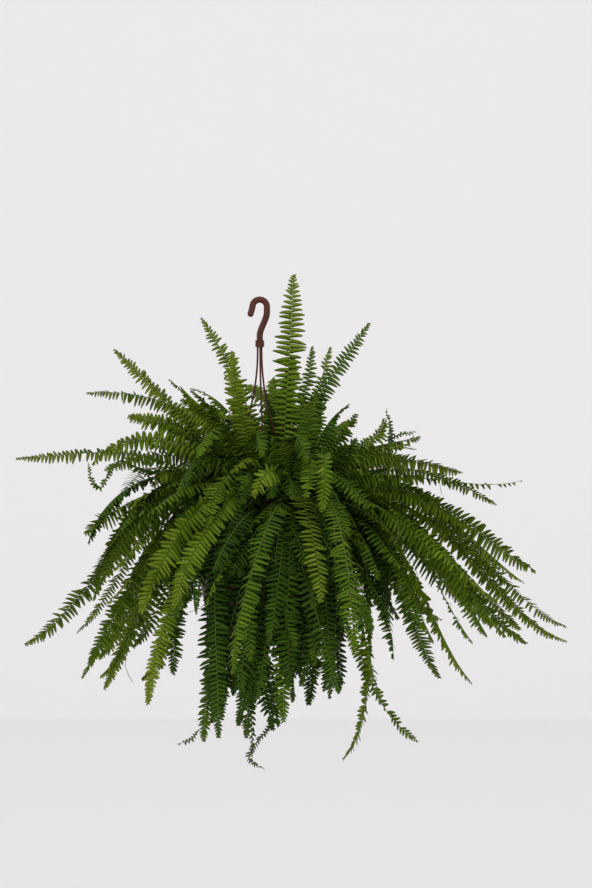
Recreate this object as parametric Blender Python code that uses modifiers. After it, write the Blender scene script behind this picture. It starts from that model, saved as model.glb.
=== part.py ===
"""A leafy fern in a hanging pot: hook, collar, strands, rim clips, pot, root ball, crown and fronds.

Metres, +Z up.  The origin is the inside of the hook's bend, where the hook rests on whatever holds
it, and the pot hangs straight below on the Z axis.  The front of the plant faces -Y.
"""

import math
from collections import namedtuple

import bmesh
import bpy
from mathutils import Matrix, Vector
from mathutils.bvhtree import BVHTree

# ---------------------------------------------------------------- driving sizes
GAP = 0.0003                # air between pieces that touch

HOOK_ROD = 0.0095           # thickness of the hook's rod
HOOK_MOUTH = 0.012          # widest rail the hook goes over
HOOK_TIP_DROP = 0.021       # how far the open end reaches below the bend's inside
HOOK_SPLAY = 0.004          # how far the open end leans outwards
HOOK_DROP = 0.056           # from the bend's inside to the top of the collar
NECK_START = 0.15           # where the neck leaves the bend's side, as a share of its height
NECK_END = 0.88             # where it is back on the axis

COLLAR_RADIUS = 0.0068
COLLAR_HEIGHT = 0.010

STRAND_COUNT = 3
STRAND_THICKNESS = 0.0026
STRAND_SPREAD = 0.0034      # from the axis to each strand under the collar
STRAND_TURN = 40.0          # degrees from +X to the first strand
STRAND_BOW = 2.00           # 1 is straight; more hangs steeper near the collar
STRAND_STRAIGHT = 0.004     # straight run at each end of a strand

RIM_DROP = 0.335            # from the origin down to the pot's rim
POT_HEIGHT = 0.170
POT_RIM_RADIUS = 0.105      # outside of the rolled rim
POT_BASE_RADIUS = 0.0775
POT_WALL = 0.0022
RIM_HEIGHT = 0.014
RIM_THICKNESS = 0.0045
POT_FLOOR = 0.003
POT_STEPS = 56              # flat sides round the pot and the root ball
BASE_CHAMFER = 0.002
DRAIN_HOLES = 4
DRAIN_RADIUS = 0.006
DRAIN_CIRCLE = 0.050        # radius of the ring of drain holes

CLIP_WIDTH = 0.012
CLIP_WALL = 0.0020
CLIP_OUTER_LEG = 0.016      # length of the leg outside the rim
CLIP_INNER_LEG = 0.008

SOIL_DROP = 0.018           # soil surface below the rim
CROWN_MARGIN = 0.0038       # from the growing clump's edge to the pot's wall on the +X side
CROWN_RADIUS = 0.066
CROWN_HEIGHT = 0.034

STALK_THICKNESS = 0.0034    # a frond's bare stalk
FROND_DEPTH = 0.0030        # from a frond's upper face to its keel
FROND_RINGS = 15
FROND_CLEARANCE = 0.0012    # air kept between two fronds, and round the holder
LIFT_SHARE = 0.56           # share of the span over which a frond keeps its launch direction
REACH_SHARE = 0.32          # share of the span over which it keeps its final direction
LAUNCH_LEVEL = 45.0         # fronds that rise less than this, in degrees, leave from the edge
LAUNCH_LEAN = 69.0          # how far down the crown's side, in degrees, that edge is
STALK_END = 0.12            # where the leaflets start, as a share of the length
FULL_WIDTH = 0.34           # where they reach full width
TAPER_START = 0.70          # where they start to shorten towards the tip
TIP_SHARE = 0.12            # share of the width that is left at the tip
ROLL_END = 0.45             # where the blade has its full roll
FOOT_AIR = 0.0006           # air between a stalk's end and the crown

DRAWN_RIM_RADIUS = 0.105    # the rim that the tips below are given for: they spread with a
DRAWN_RIM_DROP = 0.335      # wider one, and hang lower with a lower one
PLACING_TRIES = 4000
TIP_NUDGE = 0.0022          # how much further, per root of the tries, a frond looks for room
RISE_NUDGE = 1.2            # degrees
TURN_NUDGE = 3.5            # degrees

# Each frond: where its tip is, the angles above level at which it leaves the crown and ends
# (below -90 it curls back in towards the pot), its width, how far its blade rolls to its left,
# looking outwards, and how far to the left of its tip it sets out.  Angles are in degrees.
Frond = namedtuple("Frond", "tip rise fall width roll swing", defaults=(0,))

UPRIGHT = (
    Frond((0.050, 0.020, 0.040), 88, 88, 0.046, 40),
    Frond((0.080, 0.050, -0.070), 86, 86, 0.030, 40),
    Frond((0.110, 0.020, -0.067), 82, 74, 0.030, 70),
    Frond((0.163, 0.000, -0.030), 84, 58, 0.032, 65),
    Frond((-0.083, 0.030, -0.025), 84, 55, 0.029, -70),
    Frond((-0.023, -0.090, -0.064), 84, 92, 0.042, 25),
    Frond((0.190, 0.100, -0.186), 78, 82, 0.026, 45),
    Frond((0.050, 0.200, -0.100), 76, 45, 0.034, 20),
)
LEFT = (
    Frond((-0.220, 0.030, -0.072), 62, 45, 0.036, 60, 8),
    Frond((-0.268, 0.080, -0.144), 68, -6, 0.030, 74, -12),
    Frond((-0.126, 0.120, -0.138), 75, 40, 0.036, 50),
    Frond((-0.364, -0.020, -0.231), 52, 0, 0.024, 74),
    Frond((-0.242, -0.100, -0.228), 66, -48, 0.034, 58, 12),
    Frond((-0.248, 0.140, -0.273), 55, -25, 0.032, 60, -10),
    Frond((-0.357, -0.060, -0.506), 66, -26, 0.044, 66, -8),
    Frond((-0.298, 0.160, -0.541), 62, -42, 0.022, 45, 10),
    Frond((-0.254, -0.140, -0.536), 66, -52, 0.036, 60, 8),
    Frond((-0.245, 0.060, -0.606), 60, -62, 0.036, 55, -12),
    Frond((-0.158, -0.200, -0.560), 66, -86, 0.036, -35, 10),
)
RIGHT = (
    Frond((0.310, 0.080, -0.267), 60, -18, 0.038, -64, 10),
    Frond((0.378, 0.020, -0.270), 40, 18, 0.020, -72),
    Frond((0.360, 0.120, -0.326), 50, -30, 0.022, -64, -8),
    Frond((0.321, -0.080, -0.332), 50, -28, 0.022, -64),
    Frond((0.412, -0.040, -0.400), 52, -26, 0.038, -62, -8),
    Frond((0.474, 0.060, -0.507), 56, -20, 0.034, -55, 8),
    Frond((0.463, -0.080, -0.497), 50, -16, 0.030, -50),
    Frond((0.390, -0.140, -0.485), 50, -22, 0.038, -65, -12),
    Frond((0.307, -0.200, -0.530), 50, -42, 0.034, -55, 10),
    Frond((0.283, 0.100, -0.600), 60, -52, 0.036, -50, -12),
    Frond((0.131, -0.160, -0.653), 62, -138, 0.030, -75, 40),
)
FRONT = (
    Frond((-0.080, -0.170, -0.623), 66, -88, 0.040, -20, 14),
    Frond((-0.046, -0.210, -0.605), 60, -86, 0.040, -8, -12),
    Frond((-0.018, -0.160, -0.621), 56, -88, 0.038, 10, 10),
    Frond((0.036, -0.220, -0.580), 60, -80, 0.040, -12, 12),
    Frond((0.091, -0.180, -0.558), 62, -100, 0.038, -15, -14),
    Frond((0.179, -0.240, -0.556), 56, -50, 0.030, -35, 10),
    Frond((0.164, -0.140, -0.536), 54, -80, 0.034, -25),
    Frond((-0.005, -0.120, -0.668), 56, -78, 0.020, 20),
    Frond((-0.096, -0.200, -0.410), 74, -50, 0.036, 25, 14),
    Frond((0.071, -0.220, -0.405), 80, -70, 0.038, -15, -16),
    Frond((-0.035, -0.340, -0.480), 58, -48, 0.038, 10, 14),
    Frond((0.110, -0.330, -0.455), 60, -46, 0.038, -20, -14),
)
BACK = (
    Frond((0.240, 0.220, -0.300), 55, -45, 0.038, 25, 12),
    Frond((0.120, 0.320, -0.380), 58, -50, 0.038, 15, -12),
    Frond((0.000, 0.350, -0.420), 55, -55, 0.038, -20, 12),
    Frond((-0.120, 0.300, -0.360), 58, -45, 0.038, -25, -12),
    Frond((-0.220, 0.240, -0.400), 55, -50, 0.038, -40, 12),
    Frond((0.070, 0.240, -0.600), 62, -80, 0.038, 15, -14),
    Frond((0.180, 0.180, -0.560), 62, -75, 0.038, 30, 12),
)

# ---------------------------------------------------------------- sizes worked out from them
COLLAR_BOTTOM = -(HOOK_DROP + COLLAR_HEIGHT)
POT_BASE = -(RIM_DROP + POT_HEIGHT)
SOIL_TOP = -(RIM_DROP + SOIL_DROP)
CROWN_FLOOR = SOIL_TOP + GAP
CLIP_SLACK = CLIP_WIDTH ** 2 / (8.0 * POT_RIM_RADIUS)   # a straight clip on a round rim
CLIP_TOP = -RIM_DROP + GAP + CLIP_WALL
GOLDEN_ANGLE = math.pi * (3.0 - math.sqrt(5.0))


# ---------------------------------------------------------------- helpers
def clear_scene():
    """Removes every object, so that the script always starts from nothing."""
    for thing in list(bpy.data.objects):
        bpy.data.objects.remove(thing, do_unlink=True)


def new_collection(name):
    """A new collection in the scene."""
    group = bpy.data.collections.new(name)
    bpy.context.scene.collection.children.link(group)
    return group


def material(name, colour, roughness):
    """A plain Principled material."""
    made = bpy.data.materials.new(name)
    made.use_nodes = True
    shader = made.node_tree.nodes["Principled BSDF"]
    shader.inputs["Base Color"].default_value = (*colour, 1.0)
    shader.inputs["Roughness"].default_value = roughness
    shader.inputs["Metallic"].default_value = 0.0
    return made


def place(name, data, finish, group):
    """Puts mesh or curve data in the scene as one named piece."""
    thing = bpy.data.objects.new(name, data)
    group.objects.link(thing)
    data.materials.append(finish)
    return thing


def turned(name, profile, steps, finish, group):
    """A turned piece: the (radius, height) profile runs down its outer side, from axis to axis."""
    mesh = bpy.data.meshes.new(name)
    points = [(radius, 0.0, height) for radius, height in profile]
    edges = [(index, index + 1) for index in range(len(points) - 1)]
    mesh.from_pydata(points, edges, [])
    thing = place(name, mesh, finish, group)
    screw = thing.modifiers.new("turn", "SCREW")
    screw.steps = steps
    screw.render_steps = steps
    screw.use_merge_vertices = True
    screw.merge_threshold = 0.00005
    return thing


def rod(name, points, thickness, sides, finish, group):
    """A round rod with flat ends along the points; sides sets how round it is."""
    curve = bpy.data.curves.new(name, "CURVE")
    curve.dimensions = "3D"
    curve.bevel_depth = thickness / 2.0
    curve.bevel_resolution = sides
    curve.use_fill_caps = True
    spline = curve.splines.new("POLY")
    spline.points.add(len(points) - 1)
    for point, place_at in zip(spline.points, points):
        point.co = (*place_at, 1.0)
    return place(name, curve, finish, group)


def evaluated_tree(things):
    """A search tree over the pieces' finished surfaces, in world space."""
    graph = bpy.context.evaluated_depsgraph_get()
    corners = []
    faces = []
    for thing in things:
        shaped = thing.evaluated_get(graph)
        mesh = shaped.to_mesh()
        first = len(corners)
        corners.extend(thing.matrix_world @ vertex.co for vertex in mesh.vertices)
        faces.extend([first + corner for corner in face.vertices] for face in mesh.polygons)
        shaped.to_mesh_clear()
    return BVHTree.FromPolygons(corners, faces)


def smooth_step(share):
    """Goes from 0 to 1 with a level start and end."""
    share = min(max(share, 0.0), 1.0)
    return share * share * (3.0 - 2.0 * share)


# ---------------------------------------------------------------- hanger
def hook_route():
    """The hook's centreline: open tip, round bend, then a swan neck back to the axis."""
    bend = HOOK_MOUTH / 2.0 + HOOK_ROD / 2.0
    middle = -HOOK_MOUTH / 2.0
    arc_steps = 10
    neck_steps = 12
    route = [Vector((-bend - HOOK_SPLAY, 0.0, -HOOK_TIP_DROP))]
    for step in range(arc_steps + 1):
        turn = math.pi * (1.0 - step / arc_steps)
        route.append(Vector((bend * math.cos(turn), 0.0, middle + bend * math.sin(turn))))
    for step in range(1, neck_steps + 1):
        share = step / neck_steps
        height = middle + share * (GAP - HOOK_DROP - middle)
        sway = smooth_step((share - NECK_START) / (NECK_END - NECK_START))
        route.append(Vector((bend * (1.0 - sway), 0.0, height)))
    return route


def build_hook(finish, group):
    """The hook."""
    return rod("hanger_hook", hook_route(), HOOK_ROD, 4, finish, group)


def build_collar(finish, group):
    """The moulded collar that joins the hook to the strands."""
    chamfer = 0.0012
    top = -HOOK_DROP
    profile = (
        (0.0, top),
        (COLLAR_RADIUS - chamfer, top),
        (COLLAR_RADIUS, top - chamfer),
        (COLLAR_RADIUS, COLLAR_BOTTOM + chamfer),
        (COLLAR_RADIUS - chamfer, COLLAR_BOTTOM),
        (0.0, COLLAR_BOTTOM),
    )
    return turned("hanger_collar", profile, 24, finish, group)


def rim_middle():
    """Distance from the axis to the middle of the rolled rim."""
    return POT_RIM_RADIUS - RIM_THICKNESS / 2.0


def strand_route(turn):
    """One strand, from under the collar to the top of its rim clip."""
    steps = 12
    top = COLLAR_BOTTOM - GAP
    bottom = CLIP_TOP + GAP
    outward = Vector((math.cos(turn), math.sin(turn), 0.0))
    route = [outward * STRAND_SPREAD + Vector((0.0, 0.0, top))]
    first = top - STRAND_STRAIGHT
    last = bottom + STRAND_STRAIGHT
    for step in range(steps + 1):
        share = step / steps
        reach = STRAND_SPREAD + (rim_middle() - STRAND_SPREAD) * share ** STRAND_BOW
        route.append(outward * reach + Vector((0.0, 0.0, first + (last - first) * share)))
    route.append(outward * rim_middle() + Vector((0.0, 0.0, bottom)))
    return route


def build_clip(name, turn, finish, group):
    """A saddle over the rolled rim that a strand ends on."""
    slack = GAP + CLIP_SLACK
    inner = RIM_THICKNESS / 2.0 + slack
    outer = inner + CLIP_WALL
    under = -RIM_DROP + GAP
    outline = (
        (-outer, CLIP_TOP),
        (-outer, under - CLIP_INNER_LEG),
        (-inner, under - CLIP_INNER_LEG),
        (-inner, under),
        (inner, under),
        (inner, under - CLIP_OUTER_LEG),
        (outer, under - CLIP_OUTER_LEG),
        (outer, CLIP_TOP),
    )
    curve = bpy.data.curves.new(name, "CURVE")
    curve.dimensions = "2D"
    curve.fill_mode = "BOTH"
    curve.extrude = CLIP_WIDTH / 2.0
    spline = curve.splines.new("POLY")
    spline.points.add(len(outline) - 1)
    for point, (across, height) in zip(spline.points, outline):
        point.co = (across, height, 0.0, 1.0)
    spline.use_cyclic_u = True
    thing = place(name, curve, finish, group)
    stand = Matrix.Rotation(math.pi / 2.0, 4, "X")
    outward = Matrix.Translation((rim_middle(), 0.0, 0.0))
    thing.matrix_world = Matrix.Rotation(turn, 4, "Z") @ outward @ stand
    return thing


def build_hanger(finish, group):
    """Hook, collar, strands and clips."""
    pieces = [build_hook(finish, group), build_collar(finish, group)]
    for number in range(STRAND_COUNT):
        turn = math.radians(STRAND_TURN) + number * 2.0 * math.pi / STRAND_COUNT
        strand = f"hanger_strand_{number + 1}"
        pieces.append(rod(strand, strand_route(turn), STRAND_THICKNESS, 2, finish, group))
        pieces.append(build_clip(f"rim_clip_{number + 1}", turn, finish, group))
    return pieces


# ---------------------------------------------------------------- pot and root ball
def pot_inner_radius(height):
    """The pot's inside radius at a height: tapered up to the rim, then straight."""
    share = min((height - POT_BASE) / (POT_HEIGHT - RIM_HEIGHT), 1.0)
    top = POT_RIM_RADIUS - RIM_THICKNESS
    return POT_BASE_RADIUS - POT_WALL + share * (top - POT_BASE_RADIUS + POT_WALL)


def build_pot(finish, group, cutters):
    """The pot: a tapered shell with a rolled rim and drain holes in its floor."""
    rim = -RIM_DROP
    floor = POT_BASE + POT_FLOOR
    under_rim = rim - RIM_HEIGHT
    lip = RIM_THICKNESS / 2.0
    lip_steps = 6
    profile = [
        (0.0, floor),
        (pot_inner_radius(floor), floor),
        (pot_inner_radius(under_rim), under_rim),
    ]
    for step in range(lip_steps + 1):
        turn = math.pi * (1.0 - step / lip_steps)
        profile.append((rim_middle() + lip * math.cos(turn), rim - lip + lip * math.sin(turn)))
    profile += [
        (POT_RIM_RADIUS, under_rim),
        (pot_inner_radius(under_rim) + POT_WALL, under_rim - RIM_THICKNESS),
        (POT_BASE_RADIUS, POT_BASE + BASE_CHAMFER),
        (POT_BASE_RADIUS - BASE_CHAMFER, POT_BASE),
        (0.0, POT_BASE),
    ]
    pot = turned("pot", profile, POT_STEPS, finish, group)
    for number in range(DRAIN_HOLES):
        turn = number * 2.0 * math.pi / DRAIN_HOLES
        middle = (DRAIN_CIRCLE * math.cos(turn), DRAIN_CIRCLE * math.sin(turn), POT_BASE)
        bpy.ops.mesh.primitive_cylinder_add(
            vertices=20, radius=DRAIN_RADIUS, depth=POT_FLOOR * 4.0, location=middle)
        cutter = bpy.context.active_object
        cutter.name = f"drain_cutter_{number + 1}"
        for owner in list(cutter.users_collection):
            owner.objects.unlink(cutter)
        cutters.objects.link(cutter)
        cutter.hide_render = True
        cutter.display_type = "WIRE"
        cut = pot.modifiers.new(f"drain_{number + 1}", "BOOLEAN")
        cut.operation = "DIFFERENCE"
        cut.solver = "EXACT"
        cut.object = cutter
    return pot


def crown_offset():
    """How far the growing clump stands off the pot's middle, towards +X."""
    return pot_inner_radius(SOIL_TOP) - CROWN_MARGIN - CROWN_RADIUS


def build_root_ball(finish, group):
    """The root ball and soil that fill the pot."""
    bottom = POT_BASE + POT_FLOOR + GAP
    facet_slack = POT_RIM_RADIUS * (1.0 - math.cos(math.pi / POT_STEPS))
    side = GAP + facet_slack
    edge_drop = 0.004
    profile = [
        (0.0, SOIL_TOP),
        (pot_inner_radius(SOIL_TOP) - CROWN_MARGIN, SOIL_TOP),
        (pot_inner_radius(SOIL_TOP - edge_drop) - side, SOIL_TOP - edge_drop),
        (pot_inner_radius(bottom) - side, bottom),
        (0.0, bottom),
    ]
    return turned("root_ball", profile, POT_STEPS, finish, group)


def build_crown(finish, group):
    """The clump of short stems that the fronds grow from."""
    arc_steps = 8
    profile = []
    for step in range(arc_steps + 1):
        turn = math.pi / 2.0 * (1.0 - step / arc_steps)
        radius = CROWN_RADIUS * math.cos(turn)
        profile.append((radius if step else 0.0, CROWN_FLOOR + CROWN_HEIGHT * math.sin(turn)))
    profile.append((0.0, CROWN_FLOOR))
    crown = turned("crown", profile, 32, finish, group)
    crown.location.x = crown_offset()
    return crown


# ---------------------------------------------------------------- fronds
def frond_width(share, width):
    """A frond's width along its length: bare stalk, full blade, pointed tip."""
    if share < STALK_END:
        return STALK_THICKNESS
    opening = smooth_step((share - STALK_END) / (FULL_WIDTH - STALK_END))
    closing = 1.0 - smooth_step((share - TAPER_START) / (1.0 - TAPER_START))
    blade = TIP_SHARE + (1.0 - TIP_SHARE) * closing
    return STALK_THICKNESS + (width - STALK_THICKNESS) * opening * blade


def frond_line(frond, base, outward):
    """The frond's midline: a smooth arch from its base to its tip."""
    tip = Vector(frond.tip)
    span = (tip - base).length
    rise = math.radians(frond.rise)
    fall = math.radians(frond.fall)
    straight = Vector((tip.x - base.x, tip.y - base.y, 0.0)).normalized()
    away = Matrix.Rotation(math.radians(frond.swing), 3, "Z") @ straight
    leave = outward * math.cos(rise) + Vector((0.0, 0.0, math.sin(rise)))
    arrive = away * math.cos(fall) + Vector((0.0, 0.0, math.sin(fall)))
    first = base + leave * span * LIFT_SHARE
    second = tip - arrive * span * REACH_SHARE
    places = []
    for step in range(FROND_RINGS):
        share = step / (FROND_RINGS - 1)
        back = 1.0 - share
        places.append(
            base * back ** 3 + first * 3.0 * share * back ** 2
            + second * 3.0 * share ** 2 * back + tip * share ** 3)
    return places


def frond_rings(frond, places, outward, extra):
    """Three corners at each place: left edge, right edge and keel, grown by extra."""
    rings = []
    side = None
    last = len(places) - 1
    for index, place_at in enumerate(places):
        ahead = places[min(index + 1, last)] - places[max(index - 1, 0)]
        ahead.normalize()
        if side is None:
            side = ahead.cross(outward + Vector((0.0, 0.0, -0.01)))
        side = (side - ahead * side.dot(ahead)).normalized()
        roll = math.radians(frond.roll) * smooth_step(index / last / ROLL_END)
        across = Matrix.Rotation(roll, 3, ahead) @ side
        upper = ahead.cross(across)
        half = frond_width(index / last, frond.width) / 2.0 + extra
        rings.append((
            place_at + across * half + upper * extra,
            place_at - across * half + upper * extra,
            place_at - upper * (FROND_DEPTH + extra)))
    return rings


def ring_faces(count):
    """The triangles of a three-sided tube with closed ends."""
    faces = [(0, 1, 2), tuple(3 * (count - 1) + corner for corner in (2, 1, 0))]
    for ring in range(count - 1):
        for corner in range(3):
            following = (corner + 1) % 3
            near, far = 3 * ring, 3 * (ring + 1)
            faces.append((near + corner, far + corner, far + following))
            faces.append((near + corner, far + following, near + following))
    return faces


def ring_tree(rings):
    """A search tree over a frond's surface."""
    corners = [corner for ring in rings for corner in ring]
    return BVHTree.FromPolygons(corners, ring_faces(len(rings)))


def launch_point(frond, turn, crown_tree):
    """Where on the crown a frond starts: steep ones near its top, low ones near its edge."""
    steepness = min(max((90.0 - frond.rise) / LAUNCH_LEVEL, 0.0), 1.0)
    lean = math.radians(LAUNCH_LEAN) * steepness
    outward = Vector((math.cos(turn), math.sin(turn), 0.0))
    level = CROWN_HEIGHT * math.cos(lean)
    spot = Vector((crown_offset(), 0.0, CROWN_FLOOR + level)) + outward * CROWN_RADIUS * math.sin(lean)
    surface, normal, _, _ = crown_tree.find_nearest(spot)
    return surface, normal, outward


def shaped_frond(frond, turn, crown_tree):
    """The frond's midline and its outward direction, its stalk end just clear of the crown."""
    surface, normal, outward = launch_point(frond, turn, crown_tree)
    lift = GAP
    for _ in range(3):
        places = frond_line(frond, surface + normal * lift, outward)
        first_ring = frond_rings(frond, places, outward, 0.0)[0]
        nearest = min((corner - surface).dot(normal) for corner in first_ring)
        lift += FOOT_AIR - nearest
    return places, outward


def placed_frond(frond, crown_tree, holder_tree, earlier):
    """The frond's rings, at the first place near the wanted one that clears everything so far."""
    spread = POT_RIM_RADIUS / DRAWN_RIM_RADIUS
    east, north, height = frond.tip
    tip = Vector((east * spread, north * spread, height + DRAWN_RIM_DROP - RIM_DROP))
    heading = math.atan2(tip.y, tip.x - crown_offset()) + math.radians(frond.swing)
    for attempt in range(PLACING_TRIES):
        swing = GOLDEN_ANGLE * attempt
        size = math.sqrt(attempt)
        shifted = frond._replace(
            tip=tip + Vector((math.cos(swing), math.sin(swing), 0.0)) * TIP_NUDGE * size,
            rise=frond.rise - RISE_NUDGE * size * abs(math.sin(swing * 0.5)))
        turn = heading + math.radians(TURN_NUDGE) * size * math.cos(swing)
        places, outward = shaped_frond(shifted, turn, crown_tree)
        grown = ring_tree(frond_rings(shifted, places, outward, FROND_CLEARANCE))
        if any(grown.overlap(tree) for tree in (holder_tree, *earlier)):
            continue
        rings = frond_rings(shifted, places, outward, 0.0)
        exact = ring_tree(rings)
        if not any(exact.overlap(tree) for tree in (crown_tree, holder_tree, *earlier)):
            return rings
    raise ValueError(f"no free place for the frond with its tip at {tuple(frond.tip)}")


def build_fronds(holder, crown, finish, group):
    """Every frond, the most upright first, each kept clear of the ones before it."""
    crown_tree = evaluated_tree([crown])
    holder_tree = evaluated_tree(holder)
    earlier = []
    for number, frond in enumerate(UPRIGHT + LEFT + RIGHT + FRONT + BACK):
        rings = placed_frond(frond, crown_tree, holder_tree, earlier)
        earlier.append(ring_tree(rings))
        name = f"frond_{number + 1:02d}"
        mesh = bpy.data.meshes.new(name)
        mesh.from_pydata([corner for ring in rings for corner in ring], [], ring_faces(len(rings)))
        shape = bmesh.new()
        shape.from_mesh(mesh)
        bmesh.ops.recalc_face_normals(shape, faces=shape.faces)
        shape.to_mesh(mesh)
        shape.free()
        place(name, mesh, finish, group)


def main():
    """Builds the whole plant."""
    clear_scene()
    group = new_collection("hanging_fern")
    cutters = new_collection("cutters")
    plastic = material("brown_plastic", (0.105, 0.042, 0.026), 0.45)
    pot_plastic = material("pot_plastic", (0.115, 0.046, 0.028), 0.50)
    soil = material("soil", (0.030, 0.020, 0.013), 0.95)
    stem = material("crown_stem", (0.060, 0.045, 0.020), 0.85)
    leaf = material("fern_leaf", (0.055, 0.125, 0.015), 0.55)
    hanger = build_hanger(plastic, group)
    pot = build_pot(pot_plastic, group, cutters)
    root_ball = build_root_ball(soil, group)
    crown = build_crown(stem, group)
    bpy.context.view_layer.update()
    build_fronds([*hanger, pot, root_ball], crown, leaf, group)


main()
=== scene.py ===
"""Looks for a fern in a hanging pot: leafy fronds, crown, soil, pot and hanger around the fixed frame.

Everything is in metres, +Z up, with the hook's resting point at the origin and the front at -Y.
"""

from __future__ import annotations

import logging
import math
import random
from dataclasses import dataclass
from enum import Enum
from itertools import permutations

import bpy
import numpy as np
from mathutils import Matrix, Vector

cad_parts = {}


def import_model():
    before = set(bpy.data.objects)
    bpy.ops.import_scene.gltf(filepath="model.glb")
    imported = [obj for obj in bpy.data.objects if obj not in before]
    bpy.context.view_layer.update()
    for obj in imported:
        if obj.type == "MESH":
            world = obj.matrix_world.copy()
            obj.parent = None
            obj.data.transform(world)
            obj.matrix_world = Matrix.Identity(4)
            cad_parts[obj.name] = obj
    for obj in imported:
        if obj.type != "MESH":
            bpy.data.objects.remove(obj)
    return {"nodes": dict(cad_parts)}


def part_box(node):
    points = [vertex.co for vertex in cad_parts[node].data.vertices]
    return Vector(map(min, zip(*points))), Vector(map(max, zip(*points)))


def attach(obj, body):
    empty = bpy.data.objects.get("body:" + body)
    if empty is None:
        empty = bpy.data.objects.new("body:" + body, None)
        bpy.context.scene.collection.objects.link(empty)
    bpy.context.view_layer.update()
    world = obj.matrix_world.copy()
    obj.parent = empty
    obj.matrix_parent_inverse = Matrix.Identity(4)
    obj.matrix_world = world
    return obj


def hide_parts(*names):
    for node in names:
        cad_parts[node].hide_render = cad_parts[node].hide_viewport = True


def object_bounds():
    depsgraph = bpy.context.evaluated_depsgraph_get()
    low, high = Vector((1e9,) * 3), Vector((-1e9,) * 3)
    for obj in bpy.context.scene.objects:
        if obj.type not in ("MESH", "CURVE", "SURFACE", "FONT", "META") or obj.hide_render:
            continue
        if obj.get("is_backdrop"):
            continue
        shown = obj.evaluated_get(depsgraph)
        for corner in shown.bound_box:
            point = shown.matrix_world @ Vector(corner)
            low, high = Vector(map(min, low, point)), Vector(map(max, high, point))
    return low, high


LOG = logging.getLogger("hanging_fern")
GOLDEN_ANGLE = math.pi * (3.0 - math.sqrt(5.0))
GOLDEN_SHARE = 0.618034
UP = np.array([0.0, 0.0, 1.0])
TONE = "leaf_tone"
MIDLINE_PLACES = 40

Colour = tuple[float, float, float]
Place = tuple[float, float, float]


# ------------------------------------------------------------------ small geometry helpers
def unit(vectors: np.ndarray) -> np.ndarray:
    """Vectors scaled to length one, along the last axis."""
    return vectors / np.maximum(np.linalg.norm(vectors, axis=-1, keepdims=True), 1e-12)


def smooth_step(share: np.ndarray | float) -> np.ndarray | float:
    """Goes from 0 to 1 with a level start and end."""
    share = np.clip(share, 0.0, 1.0)
    return share * share * (3.0 - 2.0 * share)


def ramp(share: np.ndarray, places: tuple[float, ...], values: tuple[float, ...]) -> np.ndarray:
    """Straight-line interpolation through a few given values."""
    return np.interp(share, places, values)


def turned_about(vectors: np.ndarray, axes: np.ndarray, angles: np.ndarray | float) -> np.ndarray:
    """Vectors turned about unit axes by angles in radians (Rodrigues' formula)."""
    angles = np.asarray(angles)[..., None]
    cosine, sine = np.cos(angles), np.sin(angles)
    along = np.sum(vectors * axes, axis=-1, keepdims=True)
    return vectors * cosine + np.cross(axes, vectors) * sine + axes * along * (1.0 - cosine)


def level_heading(turn: float) -> np.ndarray:
    """The level direction at an angle from +X, in radians."""
    return np.array([math.cos(turn), math.sin(turn), 0.0])


class Shape:
    """Collects vertices, faces, material numbers and tones, and makes one mesh of them."""

    def __init__(self) -> None:
        """Starts empty."""
        self.points: list[np.ndarray] = []
        self.corners: list[np.ndarray] = []
        self.sizes: list[np.ndarray] = []
        self.slots: list[np.ndarray] = []
        self.tones: list[np.ndarray] = []
        self.count = 0

    def add(self, points: np.ndarray, faces: list[tuple[int, ...]], tone: np.ndarray | float = 0.5,
            slot: int = 0, copies: int = 1) -> None:
        """Adds one patch of surface, or many copies of it.

        Args:
            points: Vertex positions, (copies * vertices of one patch, 3).
            faces: The faces of one patch, as vertex numbers.
            tone: The tone of each vertex, or of all of them.
            slot: Which of the object's materials the faces take.
            copies: How many patches the points hold.
        """
        points = np.asarray(points, float).reshape(-1, 3)
        flat = np.concatenate([np.asarray(face) for face in faces])
        sizes = np.array([len(face) for face in faces])
        step = len(points) // copies
        starts = self.count + step * np.arange(copies)
        self.corners.append((flat[None, :] + starts[:, None]).ravel())
        self.sizes.append(np.tile(sizes, copies))
        self.slots.append(np.full(len(sizes) * copies, slot))
        self.tones.append(np.broadcast_to(np.asarray(tone, float), (len(points),)))
        self.points.append(points)
        self.count += len(points)

    def to_object(self, name: str, finishes: list[bpy.types.Material], smooth: bool = True,
                  ) -> bpy.types.Object:
        """Makes the scene object.

        Args:
            name: The piece's name.
            finishes: Its materials, in slot order.
            smooth: Whether its faces are shaded smooth.

        Returns:
            The new object, linked to the scene.
        """
        mesh = bpy.data.meshes.new(name)
        points = np.concatenate(self.points)
        corners = np.concatenate(self.corners)
        sizes = np.concatenate(self.sizes)
        mesh.vertices.add(len(points))
        mesh.vertices.foreach_set("co", points.astype(np.float32).ravel())
        mesh.loops.add(len(corners))
        mesh.loops.foreach_set("vertex_index", corners.astype(np.int32))
        mesh.polygons.add(len(sizes))
        starts = np.concatenate(([0], np.cumsum(sizes)[:-1]))
        mesh.polygons.foreach_set("loop_start", starts.astype(np.int32))
        mesh.polygons.foreach_set("material_index", np.concatenate(self.slots).astype(np.int32))
        mesh.polygons.foreach_set("use_smooth", np.full(len(sizes), smooth))
        mesh.update(calc_edges=True)
        mesh.validate()
        layer = mesh.attributes.new(TONE, "FLOAT", "POINT")
        layer.data.foreach_set("value", np.concatenate(self.tones).astype(np.float32))
        for finish in finishes:
            mesh.materials.append(finish)
        thing = bpy.data.objects.new(name, mesh)
        bpy.context.scene.collection.objects.link(thing)
        return thing


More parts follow.
